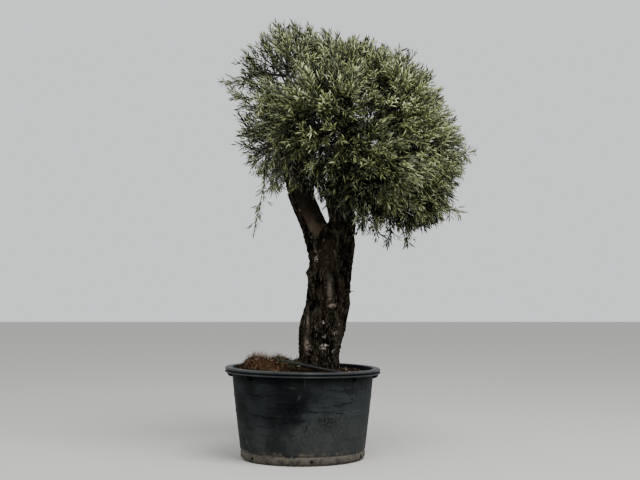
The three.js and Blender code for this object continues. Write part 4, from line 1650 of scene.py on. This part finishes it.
    def relieve(self, mesh: Mesh) -> None:
        """Push the fused wood's corners in and out by lumps, flaking plates and grain.

        Args:
            mesh: the wood's mesh.
        """
        s = self.sizes
        spots = read_spots(mesh.vertices, "co")
        normals = read_spots(mesh.vertices, "normal")
        bare = self.bareness(spots)
        push = np.empty(len(spots))
        for i, spot in enumerate(spots):
            place = Vector(spot)
            lumps = noise.fractal(Vector((place.x * 7, place.y * 7, place.z * 4)), 1.0, 2.0, 3)
            warp = 0.35 * noise.noise(place * 22)
            near, second, *_ = noise.voronoi(Vector((place.x * 30 + warp, place.y * 30 + warp,
                                                     place.z * 11 + 2 * warp)))[0]
            plate = min((second - near) / s.crack, 1.0) - 0.75 - 0.5 * near
            fine = noise.fractal(place * 75, 0.9, 2.0, 3)
            push[i] = s.lumps * lumps + (1 - bare[i]) * (s.plates * plate + s.grain * fine)
        push *= np.where(spots[:, 2] > s.thin_from, s.thin_share, 1.0)
        for bulge in s.bulges:
            push += bulge.at(spots)
        push *= np.clip((spots[:, 2] - s.stations[0].height) / 0.02, 0, 1)
        mesh.vertices.foreach_set("co", (spots + normals * push[:, None]).astype(np.float32).ravel())
        mesh.update()

    def bark(self) -> Material:
        """Make the dark flaking bark, with pale and mossy flecks and painted shade in its cracks, hollows and
        slit.

        Returns:
            The material.
        """
        f = self.finish
        shader = Shader("bark", *f.bark)
        tall = shader.stretched(f.stretch)
        plates = shader.node("TexVoronoi", {"Vector": tall, "Scale": 42},
                             feature="DISTANCE_TO_EDGE").outputs["Distance"]
        tones = shader.noise(26, 6, 0.7, tall)
        shader.start(shader.ramp(tones, 0.4, 0.64))
        shader.lay(f.brown, shader.speckle(f.browns), 0.5)
        shader.lay(f.green, shader.speckle(f.greens), 0.5)
        # Painted shade in the cracks between the plates.
        shader.lay(f.crack, shader.ramp(plates, 0.0, 0.1, (1, 0)), 0.8)
        between = shader.ramp(tones, 0.62, 0.42)
        # Darker and paler areas of the bark; the near-black ones are painted shade.
        for area in f.areas:
            shader.lay_patch(area, between)
        shader.lay(f.fleck, shader.speckle(f.flecks, tall), shader.speckle(f.fleck_groups), 0.8)
        # Painted shade inside the slit.
        shader.lay_patch(f.slit)
        worn, spots = shader.speckle(f.worn_grain), shader.speckle(f.spots)
        for patch in f.worn_patches:
            shader.lay_patch(patch, worn)
        for patch in f.spotted:
            shader.lay_patch(patch, spots)
        relief = shader.bump(shader.ramp(plates, 0, 0.14), 0.004)
        return shader.finish(f.rough, shader.bump(shader.noise(150, 5, 0.7, tall), 0.003, relief), 0.0)

    def bare_wood(self) -> Material:
        """Make the smooth light-brown wood where the bark is gone, with painted shade on its upper part.

        Returns:
            The material.
        """
        f = self.bare
        shader = Shader("bare_wood", *f.wood)
        grain = shader.noise(1, 5, 0.65, shader.stretched(f.stretch))
        height = shader.part("Z")
        shader.start(shader.ramp(grain, 0.3, 0.7))
        shader.lay(f.stain, shader.speckle(f.stains))
        # Painted shade: darker upwards, under the crown.
        shader.lay(f.high, shader.ramp(height, 1.57, 1.77), 0.85)
        shader.lay(f.mottle, shader.ramp(height, 1.5, 1.64, (1, 0)), shader.speckle(f.mottles))
        return shader.finish(f.rough, shader.bump(grain, 0.0015), f.gloss)


# Crown


@dataclass(frozen=True)
class GrowthSizes:
    """How a mass of foliage branches, and its leaves."""

    branches: int = 22
    open_branches: int = 17
    fan: float = 1.75
    branch_share: float = 0.58
    branch_radii: Span = (0.0085, 0.0035)
    twigs: int = 5
    twig_length: float = 0.22
    twig_reach: float = 0.9
    twig_radii: Span = (0.0032, 0.0019)
    shoots: int = 6
    open_shoots: int = 4
    shoot_length: Span = (0.13, 0.29)
    shoot_least: float = 0.07
    shoot_radii: Span = (0.0018, 0.0009)
    shoot_reach: Span = (0.74, 0.96)
    leader_reach: float = 1.06
    leaders: float = 0.1
    fringe: int = 16
    fringe_length: Span = (0.12, 0.24)
    spray_length: float = 0.2
    spray_shoots: tuple[float, ...] = (0.15, 0.4, 0.62)
    sprig_shoots: tuple[float, ...] = (0.3, 0.4, 0.5, 0.6, 0.68, 0.76, 0.84)
    sprig_sag: float = 0.09
    pair_spacing: float = 0.019
    leaf_length: Span = (0.046, 0.076)
    leaf_width: float = 0.17
    leaf_arch: float = 0.1
    leaf_bend: float = 0.16
    leaf_bends: tuple[float, ...] = (0.1, 0.7, 0.4, 1.0, -0.2)
    leaf_outline: tuple[Span, ...] = ((0.0, 0.0), (0.27, 0.42), (0.62, 0.46), (1.0, 0.0), (0.62, -0.46),
                                      (0.27, -0.42))
    leaf_middle: float = 0.46
    # Steps of a leaf from its shoot's level: painted highlights of leaves that catch the light, and the
    # leaves' uneven colour.
    leaf_tints: tuple[tuple[float, int], ...] = ((0.07, -2), (0.28, -1), (0.7, 0), (0.91, 1), (0.985, 2),
                                                 (1.01, 3))
    leaf_reach: float = 1.1
    blend: float = 7.0
    cell_margin: float = -0.12
    sky_from: float = 0.04
    sky_to: float = -0.3
    sky_share: float = 0.76
    low_share: float = 0.5
    stem_lead: float = 0.06
    stem_tip: float = 0.011
    stem_rings: int = 8
    stem_sides: int = 8
    bead_step: float = 0.03
    bead_margin: float = 0.006


@dataclass(frozen=True)
class LeafFinish:
    """Colours of the leaves, each side from the darkest to the lightest, lit and shaded copies of one olive
    for painted light and shade, and of the twigs.
    """

    # From painted shade deep in the crown to painted light at its outside.
    upper: tuple[Colour, ...] = ((0.0015, 0.002, 0.001), (0.016, 0.021, 0.0075), (0.058, 0.07, 0.021),
                                 (0.13, 0.15, 0.045), (0.25, 0.28, 0.095), (0.4, 0.43, 0.23))
    # Undersides, their pale own colour in three steps of painted light and shade.
    under: tuple[Colour, ...] = ((0.003, 0.004, 0.002), (0.038, 0.043, 0.026), (0.17, 0.182, 0.125))
    # The painted-shade levels gloss less.
    upper_gloss: tuple[float, ...] = (0.0, 0.12, 0.35, 0.5, 0.5, 0.5)
    under_gloss: float = 0.08
    rough: float = 0.42
    twig: tuple[Colour, Colour] = ((0.042, 0.036, 0.0276), (0.07, 0.06, 0.046))
    twig_grain: Speckle = Speckle(60, 4, 0.6, 0.35, 0.65)
    twig_gloss: float = 0.25


@dataclass
class Leaf:
    """One leaf: where it is rooted, where it points and how it is turned."""

    root: Vector
    ahead: Vector
    side: Vector
    length: float
    tint: int


@dataclass
class Mass:
    """The twigs and leaves of one mass of foliage; inner counts the leaves grown by the rule."""

    RETRIES = (1, 0.85, 0.7, 0.55, 0.4)

    space: Space
    crown: "Crown"
    twigs: MeshParts = field(default_factory=MeshParts)
    leaves: list[Leaf] = field(default_factory=list)
    inner: int = 0

    def __post_init__(self) -> None:
        """Take the crown's sizes and start the mass's own random numbers."""
        self.sizes = self.crown.sizes
        self.random = RandomStream(self.space.seed)

    def drawn_in(self, start: Vector, end: Vector, reach: float) -> Vector | None:
        """Return end, drawn back towards start until it is in the space, or nothing without room."""
        spots = (start.lerp(end, share) for share in self.RETRIES)
        return next((spot for spot in spots if self.crown.holds(spot, self.space, reach)), None)

    def add_twig(self, path: Path, radii: Span, rings: int, sides: int = 3) -> None:
        """Add the wood of one branch, twig or shoot, with its radius at its foot and at its tip."""
        shares = [i / (rings - 1) for i in range(rings)]
        self.twigs.add_both(*tube([path.point(t) for t in shares],
                                  [radii[0] + (radii[1] - radii[0]) * t for t in shares], sides))

    def add_shoot(self, path: Path, rings: int, leafless: float, tint: int) -> None:
        """Add one shoot with its leaves; the share of it next to its foot is leafless."""
        self.add_twig(path, self.sizes.shoot_radii, rings)
        self.dress(path, leafless, tint)

    def stray(self) -> Vector:
        """Draw a random direction.

        Returns:
            The direction, with length 1.
        """
        rise = self.random(-1, 1)
        turn = self.random(0, FULL_TURN)
        flat = math.sqrt(1 - rise * rise)
        return Vector((flat * math.cos(turn), flat * math.sin(turn), rise))

    def habit(self, spot: Vector) -> Vector:
        """Tell where shoots tend: outward, up at the top and drooping low down.

        Args:
            spot: where they grow.

        Returns:
            The direction.
        """
        out = spot - self.crown.HEART
        out = Vector((out.x, out.y, 0.7 * out.z)).normalized()
        up = 1.1 * smoothstep(spot.z, 2.2, 2.8)
        down = 0.9 * (1 - smoothstep(spot.z, 1.8, 2.45))
        return (out + UP * (up - down)).normalized()

    def shoot(self, start: Vector, ahead: Vector, tint: int) -> None:
        """Add one leafy shoot, unless the crown is open there.

        Args:
            start: where it leaves its twig.
            ahead: where it sets off to.
            tint: its leaves' level of painted light.
        """
        s = self.sizes
        if self.random() < self.crown.sky_at(start):
            return
        leader = self.random() < s.leaders
        towards = (ahead + self.habit(start) * 0.3 + self.stray() * 0.2).normalized()
        length = s.shoot_length[1] if leader else self.random(*s.shoot_length)
        reach = s.leader_reach if leader else self.random(*s.shoot_reach)
        end = self.drawn_in(start, start + towards * length, reach)
        if end is None or (end - start).length < s.shoot_least:
            return
        self.add_shoot(arc(start, start + ahead * (0.5 * (end - start).length), end), 4, 0.1, tint)

    def spray(self, twig: Path, shoots: int, phase: float) -> None:
        """Add the shoots of one twig, which lean ahead along it and share its level of painted light.

        Args:
            twig: the twig's line.
            shoots: how many shoots there are.
            phase: turns them round the twig.
        """
        tint = self.crown.tint_at(twig.point(1), self.random)
        for j in range(shoots):
            at = min(0.12 + 0.98 * j / (shoots - 1), 1)
            lean = self.random(0.3, 0.65) * (1.12 - at)
            self.shoot(twig.point(at), leant(twig.ahead(at), lean, j * GOLDEN_TURN + phase), tint)

    def hang(self, index: int) -> None:
        """Add one shoot that hangs out of the underside of the mass.

        Args:
            index: its number, which turns it round.
        """
        s = self.sizes
        slope = self.random(0.1, 1.25)
        direction = leant(-UP, slope, index * GOLDEN_TURN)
        start = self.space.skin(direction, 0.8)
        length = self.random(*s.fringe_length)
        tip = start + (direction * 0.5 - UP * 0.6 + self.stray() * 0.25).normalized() * length
        if self.crown.in_cell(tip, self.space) and 0.85 < self.crown.share_at(tip) < s.leader_reach + 0.06:
            path = arc(start, start.lerp(tip, 0.5) + direction * 0.02, tip)
            self.add_shoot(path, 5, 0.1, self.crown.tint_at(tip, self.random))

    def spray_to(self, tip: Vector, ahead: Vector) -> None:
        """Add a twig with a few shoots.

        Args:
            tip: where it ends.
            ahead: its direction there.
        """
        s = self.sizes
        start = tip - ahead * s.spray_length + self.stray() * 0.04
        path = arc(start, start.lerp(tip, 0.5) - Vector((0, 0.02, 0.01)), tip)
        tint = self.crown.tint_at(start, self.random)
        self.add_twig(path, s.twig_radii, 5)
        self.dress(path, 0.1, tint)
        for i, share in enumerate(s.spray_shoots):
            foot, along = path.point(share), path.ahead(share)
            side = leant(along, self.random(0.3, 0.65), i * GOLDEN_TURN + tip.x * 30)
            end = foot + side * self.random(0.07, 0.12)
            self.add_shoot(arc(foot, foot + along * 0.03, end), 4, 0.1, tint)

    def sprig(self, tip: Vector, joint: Vector) -> None:
        """Add one long shoot that leaves the space, with side shoots.

        Args:
            tip: where it ends.
            joint: where it leaves the mass's stem.
        """
        s = self.sizes
        start = self.space.skin((tip - self.space.heart).normalized(), self.space.core * 0.8)
        self.add_twig(arc(joint, joint.lerp(start, 0.5), start), s.branch_radii, 4, 4)
        length = (tip - start).length
        reach = start.lerp(tip, 1 - 0.055 / length)
        path = arc(start, start.lerp(reach, 0.5) - UP * (s.sprig_sag * length), reach)
        tint = self.crown.tint_at(tip, self.random)
        self.add_twig(path, s.twig_radii, 10)
        self.dress(path, 0.45, tint)
        for i, share in enumerate(s.sprig_shoots):
            foot, along = path.point(share), path.ahead(share)
            side = leant(along, self.random(0.5, 0.9), i * GOLDEN_TURN + tip.x * 9)
            most = 0.05 + 0.09 * (1 - share)
            end = foot + (side - UP * 0.3).normalized() * self.random(0.05, most)
            self.add_shoot(arc(foot, foot + along * 0.03, end), 4, 0.15, tint)

    def dress(self, path: Path, leafless: float, tint: int) -> None:
        """Set leaves in pairs along a shoot, each pair a quarter turn on, and one at its tip.

        Args:
            path: the shoot's line.
            leafless: the share of it, next to its foot, without leaves.
            tint: the leaves' level of painted light.
        """
        pairs = max(int(path.length * (1 - leafless) / self.sizes.pair_spacing), 1)
        turn = self.random(0, math.pi)
        for i in range(pairs):
            share = leafless + (1 - leafless) * (i + 0.6) / pairs
            spot, along = path.point(share), path.ahead(share)
            young = 1 - 0.3 * smoothstep(share, 0.75, 1)
            angle = self.random(0.4, 0.85) * (1 - 0.4 * smoothstep(share, 0.7, 1))
            for side in (0, math.pi):
                self.leaf(spot, along, angle, turn + side + self.random(-0.4, 0.4), young, tint)
            turn += math.pi / 2
        self.leaf(path.point(1), path.ahead(1), 0.1, turn, 0.8, tint)

    def leaf(self, root: Vector, along: Vector, angle: float, turn: float, young: float, tint: int) -> None:
        """Add one leaf.

        Args:
            root: where it leaves its shoot.
            along: the shoot's direction there.
            angle: its lean from the shoot.
            turn: its turn round the shoot.
            young: a factor on its length.
            tint: its shoot's level of painted light.
        """
        ahead = leant(along, angle, turn)
        side = ahead.cross(along)
        side = side.normalized() if side.length > 0.05 else square_to(ahead)[0]
        side.rotate(Quaternion(ahead, self.random(-0.6, 0.6)))
        length = self.random(*self.sizes.leaf_length) * young
        # A leaf may step from its shoot's level: painted highlights, and uneven colour.
        roll = self.random()
        change = next(step for most, step in self.sizes.leaf_tints if roll < most)
        tint = min(max(tint + change, 0), len(self.crown.finish.upper) - 1)
        self.leaves.append(Leaf(root, ahead, side, length, tint))

    def branch(self, start: Vector, direction: Vector, index: int) -> None:
        """Add one branch with its twigs and their shoots.

        Args:
            start: where it leaves the stem.
            direction: where it heads, seen from the mass's heart.
            index: its number, which turns its twigs.
        """
        s = self.sizes
        end = self.space.skin(direction, s.branch_share * self.random.uneven(0.14))
        end = self.drawn_in(start, end, 1)
        if end is None:
            return
        path = arc(start, start.lerp(end, 0.5) + UP * self.random(-0.01, 0.05), end)
        self.add_twig(path, s.branch_radii, 6, 5)
        for k in range(s.twigs):
            share = 0.3 + 0.7 * (k + 0.7) / s.twigs
            foot, along = path.point(min(share, 1)), path.ahead(min(share, 1))
            lean = self.random(0.35, 0.95) if share < 0.95 else 0.15
            leaning = leant(along, lean, index + k * GOLDEN_TURN)
            ahead = (leaning * 0.6 + self.habit(foot) * 0.5 + self.stray() * 0.75).normalized()
            tip = self.drawn_in(foot, foot + ahead * (s.twig_length * self.random.uneven(0.25)), s.twig_reach)
            if tip is None:
                continue
            twig = arc(foot, foot.lerp(tip, 0.5) + UP * 0.01, tip)
            self.add_twig(twig, s.twig_radii, 4)
            self.spray(twig, s.open_shoots if self.space.open else s.shoots, k)

    def grow(self, carrier: Limb) -> None:
        """Grow the whole mass.

        Args:
            carrier: the limb or bough whose tip carries it.
        """
        s = self.sizes
        foot, ahead = carrier.path.point(1), carrier.path.ahead(1)
        stem = arc(foot, foot + ahead * s.stem_lead, self.space.heart)
        self.add_twig(stem, (carrier.radius(1), s.stem_tip), s.stem_rings, s.stem_sides)
        outward = (self.space.heart - self.crown.HEART).normalized()
        count = s.open_branches if self.space.open else s.branches
        phase = self.random() * FULL_TURN
        for i in range(count):
            rise = 1 - s.fan * (i + 0.5) / count
            direction = leant(outward, math.acos(rise), phase + i * GOLDEN_TURN)
            self.branch(stem.point(self.random(0.55, 1)), direction, i)
        for i in range(s.fringe):
            self.hang(i)
        self.inner = len(self.leaves)
        for tip in self.space.drapes:
            self.spray_to(Vector(tip), -UP)
        for tip in self.space.tufts:
            out = (Vector(tip) - self.space.heart).normalized()
            self.spray_to(Vector(tip), (out + UP * 0.6).normalized())
        for tip in self.space.sprigs:
            self.sprig(Vector(tip), stem.point(0.9))

    def leaf_parts(self, beads: Array) -> MeshParts:
        """Make the shapes of all leaves but those that touch the wood.

        Args:
            beads: spots along the thick wood with the clear radius at each, (n, 4).

        Returns:
            Their corners and faces.
        """
        s = self.sizes
        roots, ahead, side, length, tint = (np.array([getattr(leaf, key) for leaf in self.leaves])
                                            for key in ("root", "ahead", "side", "length", "tint"))
        tips = roots + ahead * length[:, None]
        keep = self.crown.shares_at(tips) < s.leaf_reach
        keep[self.inner:] = True
        for spots in (tips, (roots + tips) / 2):
            for bead in beads:
                keep &= np.sum((spots - bead[:3]) ** 2, axis=1) > bead[3] ** 2
        roots, ahead, side, length, tint = (part[keep] for part in (roots, ahead, side, length, tint))
        face = np.cross(side, ahead)
        width = length * s.leaf_width
        bend = np.resize(s.leaf_bends, len(length)) * s.leaf_bend * length
        edge = len(s.leaf_outline)
        corners = np.empty((len(roots), edge + 1, 3))
        for k, (along, out) in enumerate(s.leaf_outline):
            lift = -bend * along**2 - (s.leaf_arch * width if out else 0)
            corners[:, k] = (roots + ahead * (length * along)[:, None] + side * (width * out)[:, None]
                             + face * lift[:, None])
        corners[:, edge] = roots + ahead * (length * s.leaf_middle)[:, None] - face * (0.2 * bend)[:, None]
        above = [(edge, (k + 1) % edge, k) for k in range(edge)]
        below = [(0, 1, 5), (1, 2, 5), (2, 4, 5), (2, 3, 4)]
        starts = ((edge + 1) * np.arange(len(roots)))[:, None, None]
        faces = (np.array(above + below)[None] + starts).reshape(-1, 3)
        finish = self.crown.finish
        # The undersides take their upper side's painted light, in three steps.
        under = len(finish.upper) + np.clip((tint + 1) // 2, 0, len(finish.under) - 1)
        slots = np.concatenate([np.repeat(tint[:, None], len(above), axis=1),
                                np.repeat(under[:, None], len(below), axis=1)], axis=1)
        parts = MeshParts()
        parts.add(corners.reshape(-1, 3), faces, slots.ravel())
        return parts


@dataclass
class Crown:
    """All masses of foliage, on the wood that carries them."""

    HEART = Vector((0.33, 0, 2.25))

    wood: Wood
    sizes: GrowthSizes = GrowthSizes()
    finish: LeafFinish = LeafFinish()

    def in_cell(self, spot: Vector, space: Space) -> bool:
        """Return whether a spot is nearer to a mass than to any other, give or take a margin."""
        own = (spot - space.heart).length_squared - space.size**2
        return all(((spot - other.heart).length_squared - other.size**2 - own)
                   / (2 * (space.heart - other.heart).length) > self.sizes.cell_margin
                   for other in self.wood.spaces if other is not space)

    def holds(self, spot: Vector, space: Space, reach: float) -> bool:
        """Return whether a spot is in a mass's part of the crown and not too far out."""
        return self.in_cell(spot, space) and self.share_at(spot) <= reach

    def share_at(self, spot: Vector) -> float:
        """Return how far out a spot lies in the masses' spaces, which flow into each other."""
        blend = self.sizes.blend
        return -math.log(sum(math.exp(-blend * space.share_at(spot)) for space in self.wood.spaces)) / blend

    def shares_at(self, spots: Array) -> Array:
        """Return the same for many spots (n, 3)."""
        away = [np.linalg.norm((spots - np.array(space.heart)) / np.array(space.reach), axis=1)
                for space in self.wood.spaces]
        return -np.log(sum(np.exp(-self.sizes.blend * share) for share in away)) / self.sizes.blend

    def sky_at(self, spot: Vector) -> float:
        """Give the chance that a shoot is left out: the crown is open at the left and underneath.

        Args:
            spot: where the shoot would grow.

        Returns:
            The chance.
        """
        s = self.sizes
        inside = 1 - 0.55 * smoothstep(self.share_at(spot), 0.5, 0.8)
        left = s.sky_share * smoothstep(spot.x, s.sky_from, s.sky_to) * inside
        return max(left, s.low_share * smoothstep(spot.z, 1.85, 1.65))

    def tint_at(self, spot: Vector, random: RandomStream) -> int:
        """Choose a spray's level of painted light: lighter outside, at the top and at the right, painted
        shade inside.

        Args:
            spot: where it is.
            random: the stream to draw from.

        Returns:
            The number of its level of painted light.
        """
        share = self.share_at(spot)
        right = 1.5 * smoothstep(spot.x, 0.35, 0.9) * smoothstep(spot.z, 1.5, 1.9)
        lit = max(smoothstep(spot.z, 2.0, 2.7), right, 0.8 * smoothstep(spot.x, 0.1, -0.25))
        outside = 0.1 + 0.9 * smoothstep(share, 0.35, 0.8)
        spread = 0.62 + 0.45 * smoothstep(spot.z, 2.15, 1.85)
        bright = (0.82 * lit + 0.68) * outside + random(-spread, spread)
        least = round(2.4 * smoothstep(spot.x, 0.25, -0.05) * smoothstep(spot.z, 2.3, 2.55))
        return min(max(round(2.5 * bright), least), len(self.finish.upper) - 2)

    def beads(self) -> Array:
        """Set out spots along the thick wood.

        Returns:
            The spots with the radius to keep clear at each, (n, 4).
        """
        step, margin = self.sizes.bead_step, self.sizes.bead_margin
        rows = []
        for limb in [*self.wood.limbs.values(), *self.wood.boughs.values()]:
            count = max(int(limb.path.length / step), 2)
            for share in (i / count for i in range(count + 1)):
                rows.append((*limb.path.point(share), math.hypot(limb.radius(share), step / 2) + margin))
        return np.array(rows)

    def materials(self) -> list[Material]:
        """Make the leaves' plain colours, one for each level of painted light and shade, with a soft sheen.

        Returns:
            The upper sides' levels, then those of the undersides.
        """
        f = self.finish
        rows = [(f"leaf_{i}", tone, gloss) for i, (tone, gloss) in enumerate(zip(f.upper, f.upper_gloss), 1)]
        rows += [(f"leaf_under_{i}", tone, f.under_gloss) for i, tone in enumerate(f.under, 1)]
        return [Shader(name, tone, tone).finish(f.rough, None, gloss) for name, tone, gloss in rows]

    def twig_bark(self) -> Material:
        """Return the grey-brown skin of the twigs."""
        shader = Shader("twig_bark", *self.finish.twig).grained(self.finish.twig_grain)
        return shader.finish(0.8, shader.bump(shader.noise(400), 0.0006), self.finish.twig_gloss)

    def build(self) -> list[Object]:
        """Grow all masses.

        Returns:
            Two pieces for each: its leaves and its twigs.
        """
        leaf_lights, bark = self.materials(), self.twig_bark()
        beads = self.beads()
        pieces = []
        for space in self.wood.spaces:
            mass = Mass(space, self)
            mass.grow(self.wood.carrier(space))
            leaves = mass.leaf_parts(beads).piece(f"{space.name}_foliage", leaf_lights)
            twigs = mass.twigs.piece(f"{space.name}_twigs", [bark])
            for piece, slot in ((leaves, Slot.LEAVES), (twigs, Slot.BARK)):
                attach(piece, BODY)
                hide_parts(f"{space.name}_leaves")
                pieces.append(piece)
        return pieces


# Pipe


@dataclass(frozen=True)
class Pipe:
    """The drip pipe across the soil, kept as it is and given its black plastic."""

    node: str = "drip_pipe"
    black: Colour = (0.006, 0.0065, 0.007)
    dust: Colour = (0.05, 0.044, 0.038)
    dirt: Speckle = Speckle(40, 5, 0.65, 0.5, 0.75)
    rough: float = 0.5
    gloss: float = 0.22

    def dress(self) -> Object:
        """Give the pipe its material.

        Returns:
            The pipe.
        """
        shader = Shader("pipe_plastic", self.black, self.dust)
        shader.start(shader.product(shader.speckle(self.dirt), 0.5))
        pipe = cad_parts[self.node]
        pipe.data.materials.clear()
        relief = shader.bump(shader.noise(150), 0.0006)
        pipe.data.materials.append(shader.finish(self.rough, relief, self.gloss))
        return pipe


# Studio


@dataclass(frozen=True)
class CameraSizes:
    """Where the photo was taken from, and its lens."""

    x: float = 0.122
    distance: float = 8.17
    height: float = 1.215
    focal_pixels: float = 1150
    image_width: int = 640
    horizon_below_middle: float = 45
    sensor: float = 36
    far: float = 100


@dataclass(frozen=True)
class Lamp:
    """One square light: its name, its place, its side and its power."""

    name: str
    place: Spot
    size: float
    power: float


@dataclass(frozen=True)
class StudioSizes:
    """The floor, the overcast sky from its horizon to its top, and the lamps with what they look at."""

    floor_reach: float = 30.0
    floor_drop: float = 0.001
    floor_tone: Colour = (0.42, 0.41, 0.39)
    sky_low: Colour = (0.93, 0.97, 0.985)
    sky_high: Colour = (1.1, 1.12, 1.15)
    sky_from: float = 0.2
    lamps: tuple[Lamp, ...] = (Lamp("key", (2.5, -4.0, 8.0), 4.5, 1100),
                               Lamp("fill", (-5.0, -5.0, 4.5), 4.0, 160))
    target: Spot = (0.2, 0, 1.7)


@dataclass
class Studio:
    """Floor, light and camera."""

    camera: CameraSizes = CameraSizes()
    sizes: StudioSizes = StudioSizes()

    def floor(self) -> None:
        """Make the plain pale floor."""
        reach = self.sizes.floor_reach
        corners = [(x, y, -self.sizes.floor_drop)
                   for x, y in ((-reach, -reach), (reach, -reach), (reach, reach), (-reach, reach))]
        parts = MeshParts()
        parts.add(np.array(corners), np.array([(0, 1, 2, 3)]))
        tone = self.sizes.floor_tone
        parts.piece("studio_floor", [Shader("floor", tone, tone).finish(0.9, None, 0.1)])

    def sky(self) -> None:
        """Make an overcast sky, brighter at the top."""
        world = bpy.data.worlds.new("overcast")
        bpy.context.scene.world = world
        world.use_nodes = True
        place = world.node_tree.nodes.new("ShaderNodeTexCoord").outputs["Generated"]
        writer = NodeWriter(world.node_tree, place)
        inputs = {"Value": writer.part("Z"), "From Min": self.sizes.sky_from}
        rise = writer.node("MapRange", inputs).outputs["Result"]
        back = world.node_tree.nodes["Background"].inputs
        writer.feed(back["Color"], writer.mix(rise, self.sizes.sky_low, self.sizes.sky_high))
        writer.feed(back["Strength"], 1.0)

    def light(self, lamp: Lamp) -> None:
        """Add one square light that looks at the tree.

        Args:
            lamp: its sizes.
        """
        data = bpy.data.lights.new(lamp.name, "AREA")
        data.size, data.energy = lamp.size, lamp.power
        added = link(bpy.data.objects.new(lamp.name, data))
        added.location = lamp.place
        ahead = Vector(self.sizes.target) - Vector(lamp.place)
        added.rotation_euler = ahead.to_track_quat("-Z", "Y").to_euler()

    def view(self) -> None:
        """Place the camera as the photo's."""
        c = self.camera
        data = bpy.data.cameras.new("photo_view")
        data.sensor_width, data.clip_end = c.sensor, c.far
        data.lens = c.focal_pixels / c.image_width * c.sensor
        eye = link(bpy.data.objects.new("photo_view", data))
        eye.location = (c.x, -c.distance, c.height)
        eye.rotation_euler = (math.pi / 2 + math.atan2(c.horizon_below_middle, c.focal_pixels), 0, 0)
        bpy.context.scene.camera = eye

    def build(self) -> None:
        """Make camera, floor, sky and lamps."""
        self.view()
        self.floor()
        self.sky()
        for lamp in self.sizes.lamps:
            self.light(lamp)


def report(pieces: Iterable[Object]) -> None:
    """Write each piece's count of triangles, and that of all, to the log."""
    counts = {piece.name: sum(len(face.vertices) - 2 for face in piece.data.polygons) for piece in pieces}
    for name, count in {**counts, "all pieces": sum(counts.values())}.items():
        LOG.info("%s: %d triangles", name, count)


def main() -> None:
    """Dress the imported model."""
    logging.basicConfig(level=logging.INFO, format="%(message)s")
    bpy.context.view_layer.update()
    Studio().build()
    tub = Tub()
    wood = Wood(make_spaces())
    soil = Soil(tub.sizes)
    pieces = [tub.build(), wood.build(), *soil.build(wood.clear_of_trunk), Pipe().dress(),
              *Crown(wood).build()]
    report(pieces)


if __name__ == "__main__":
    main()
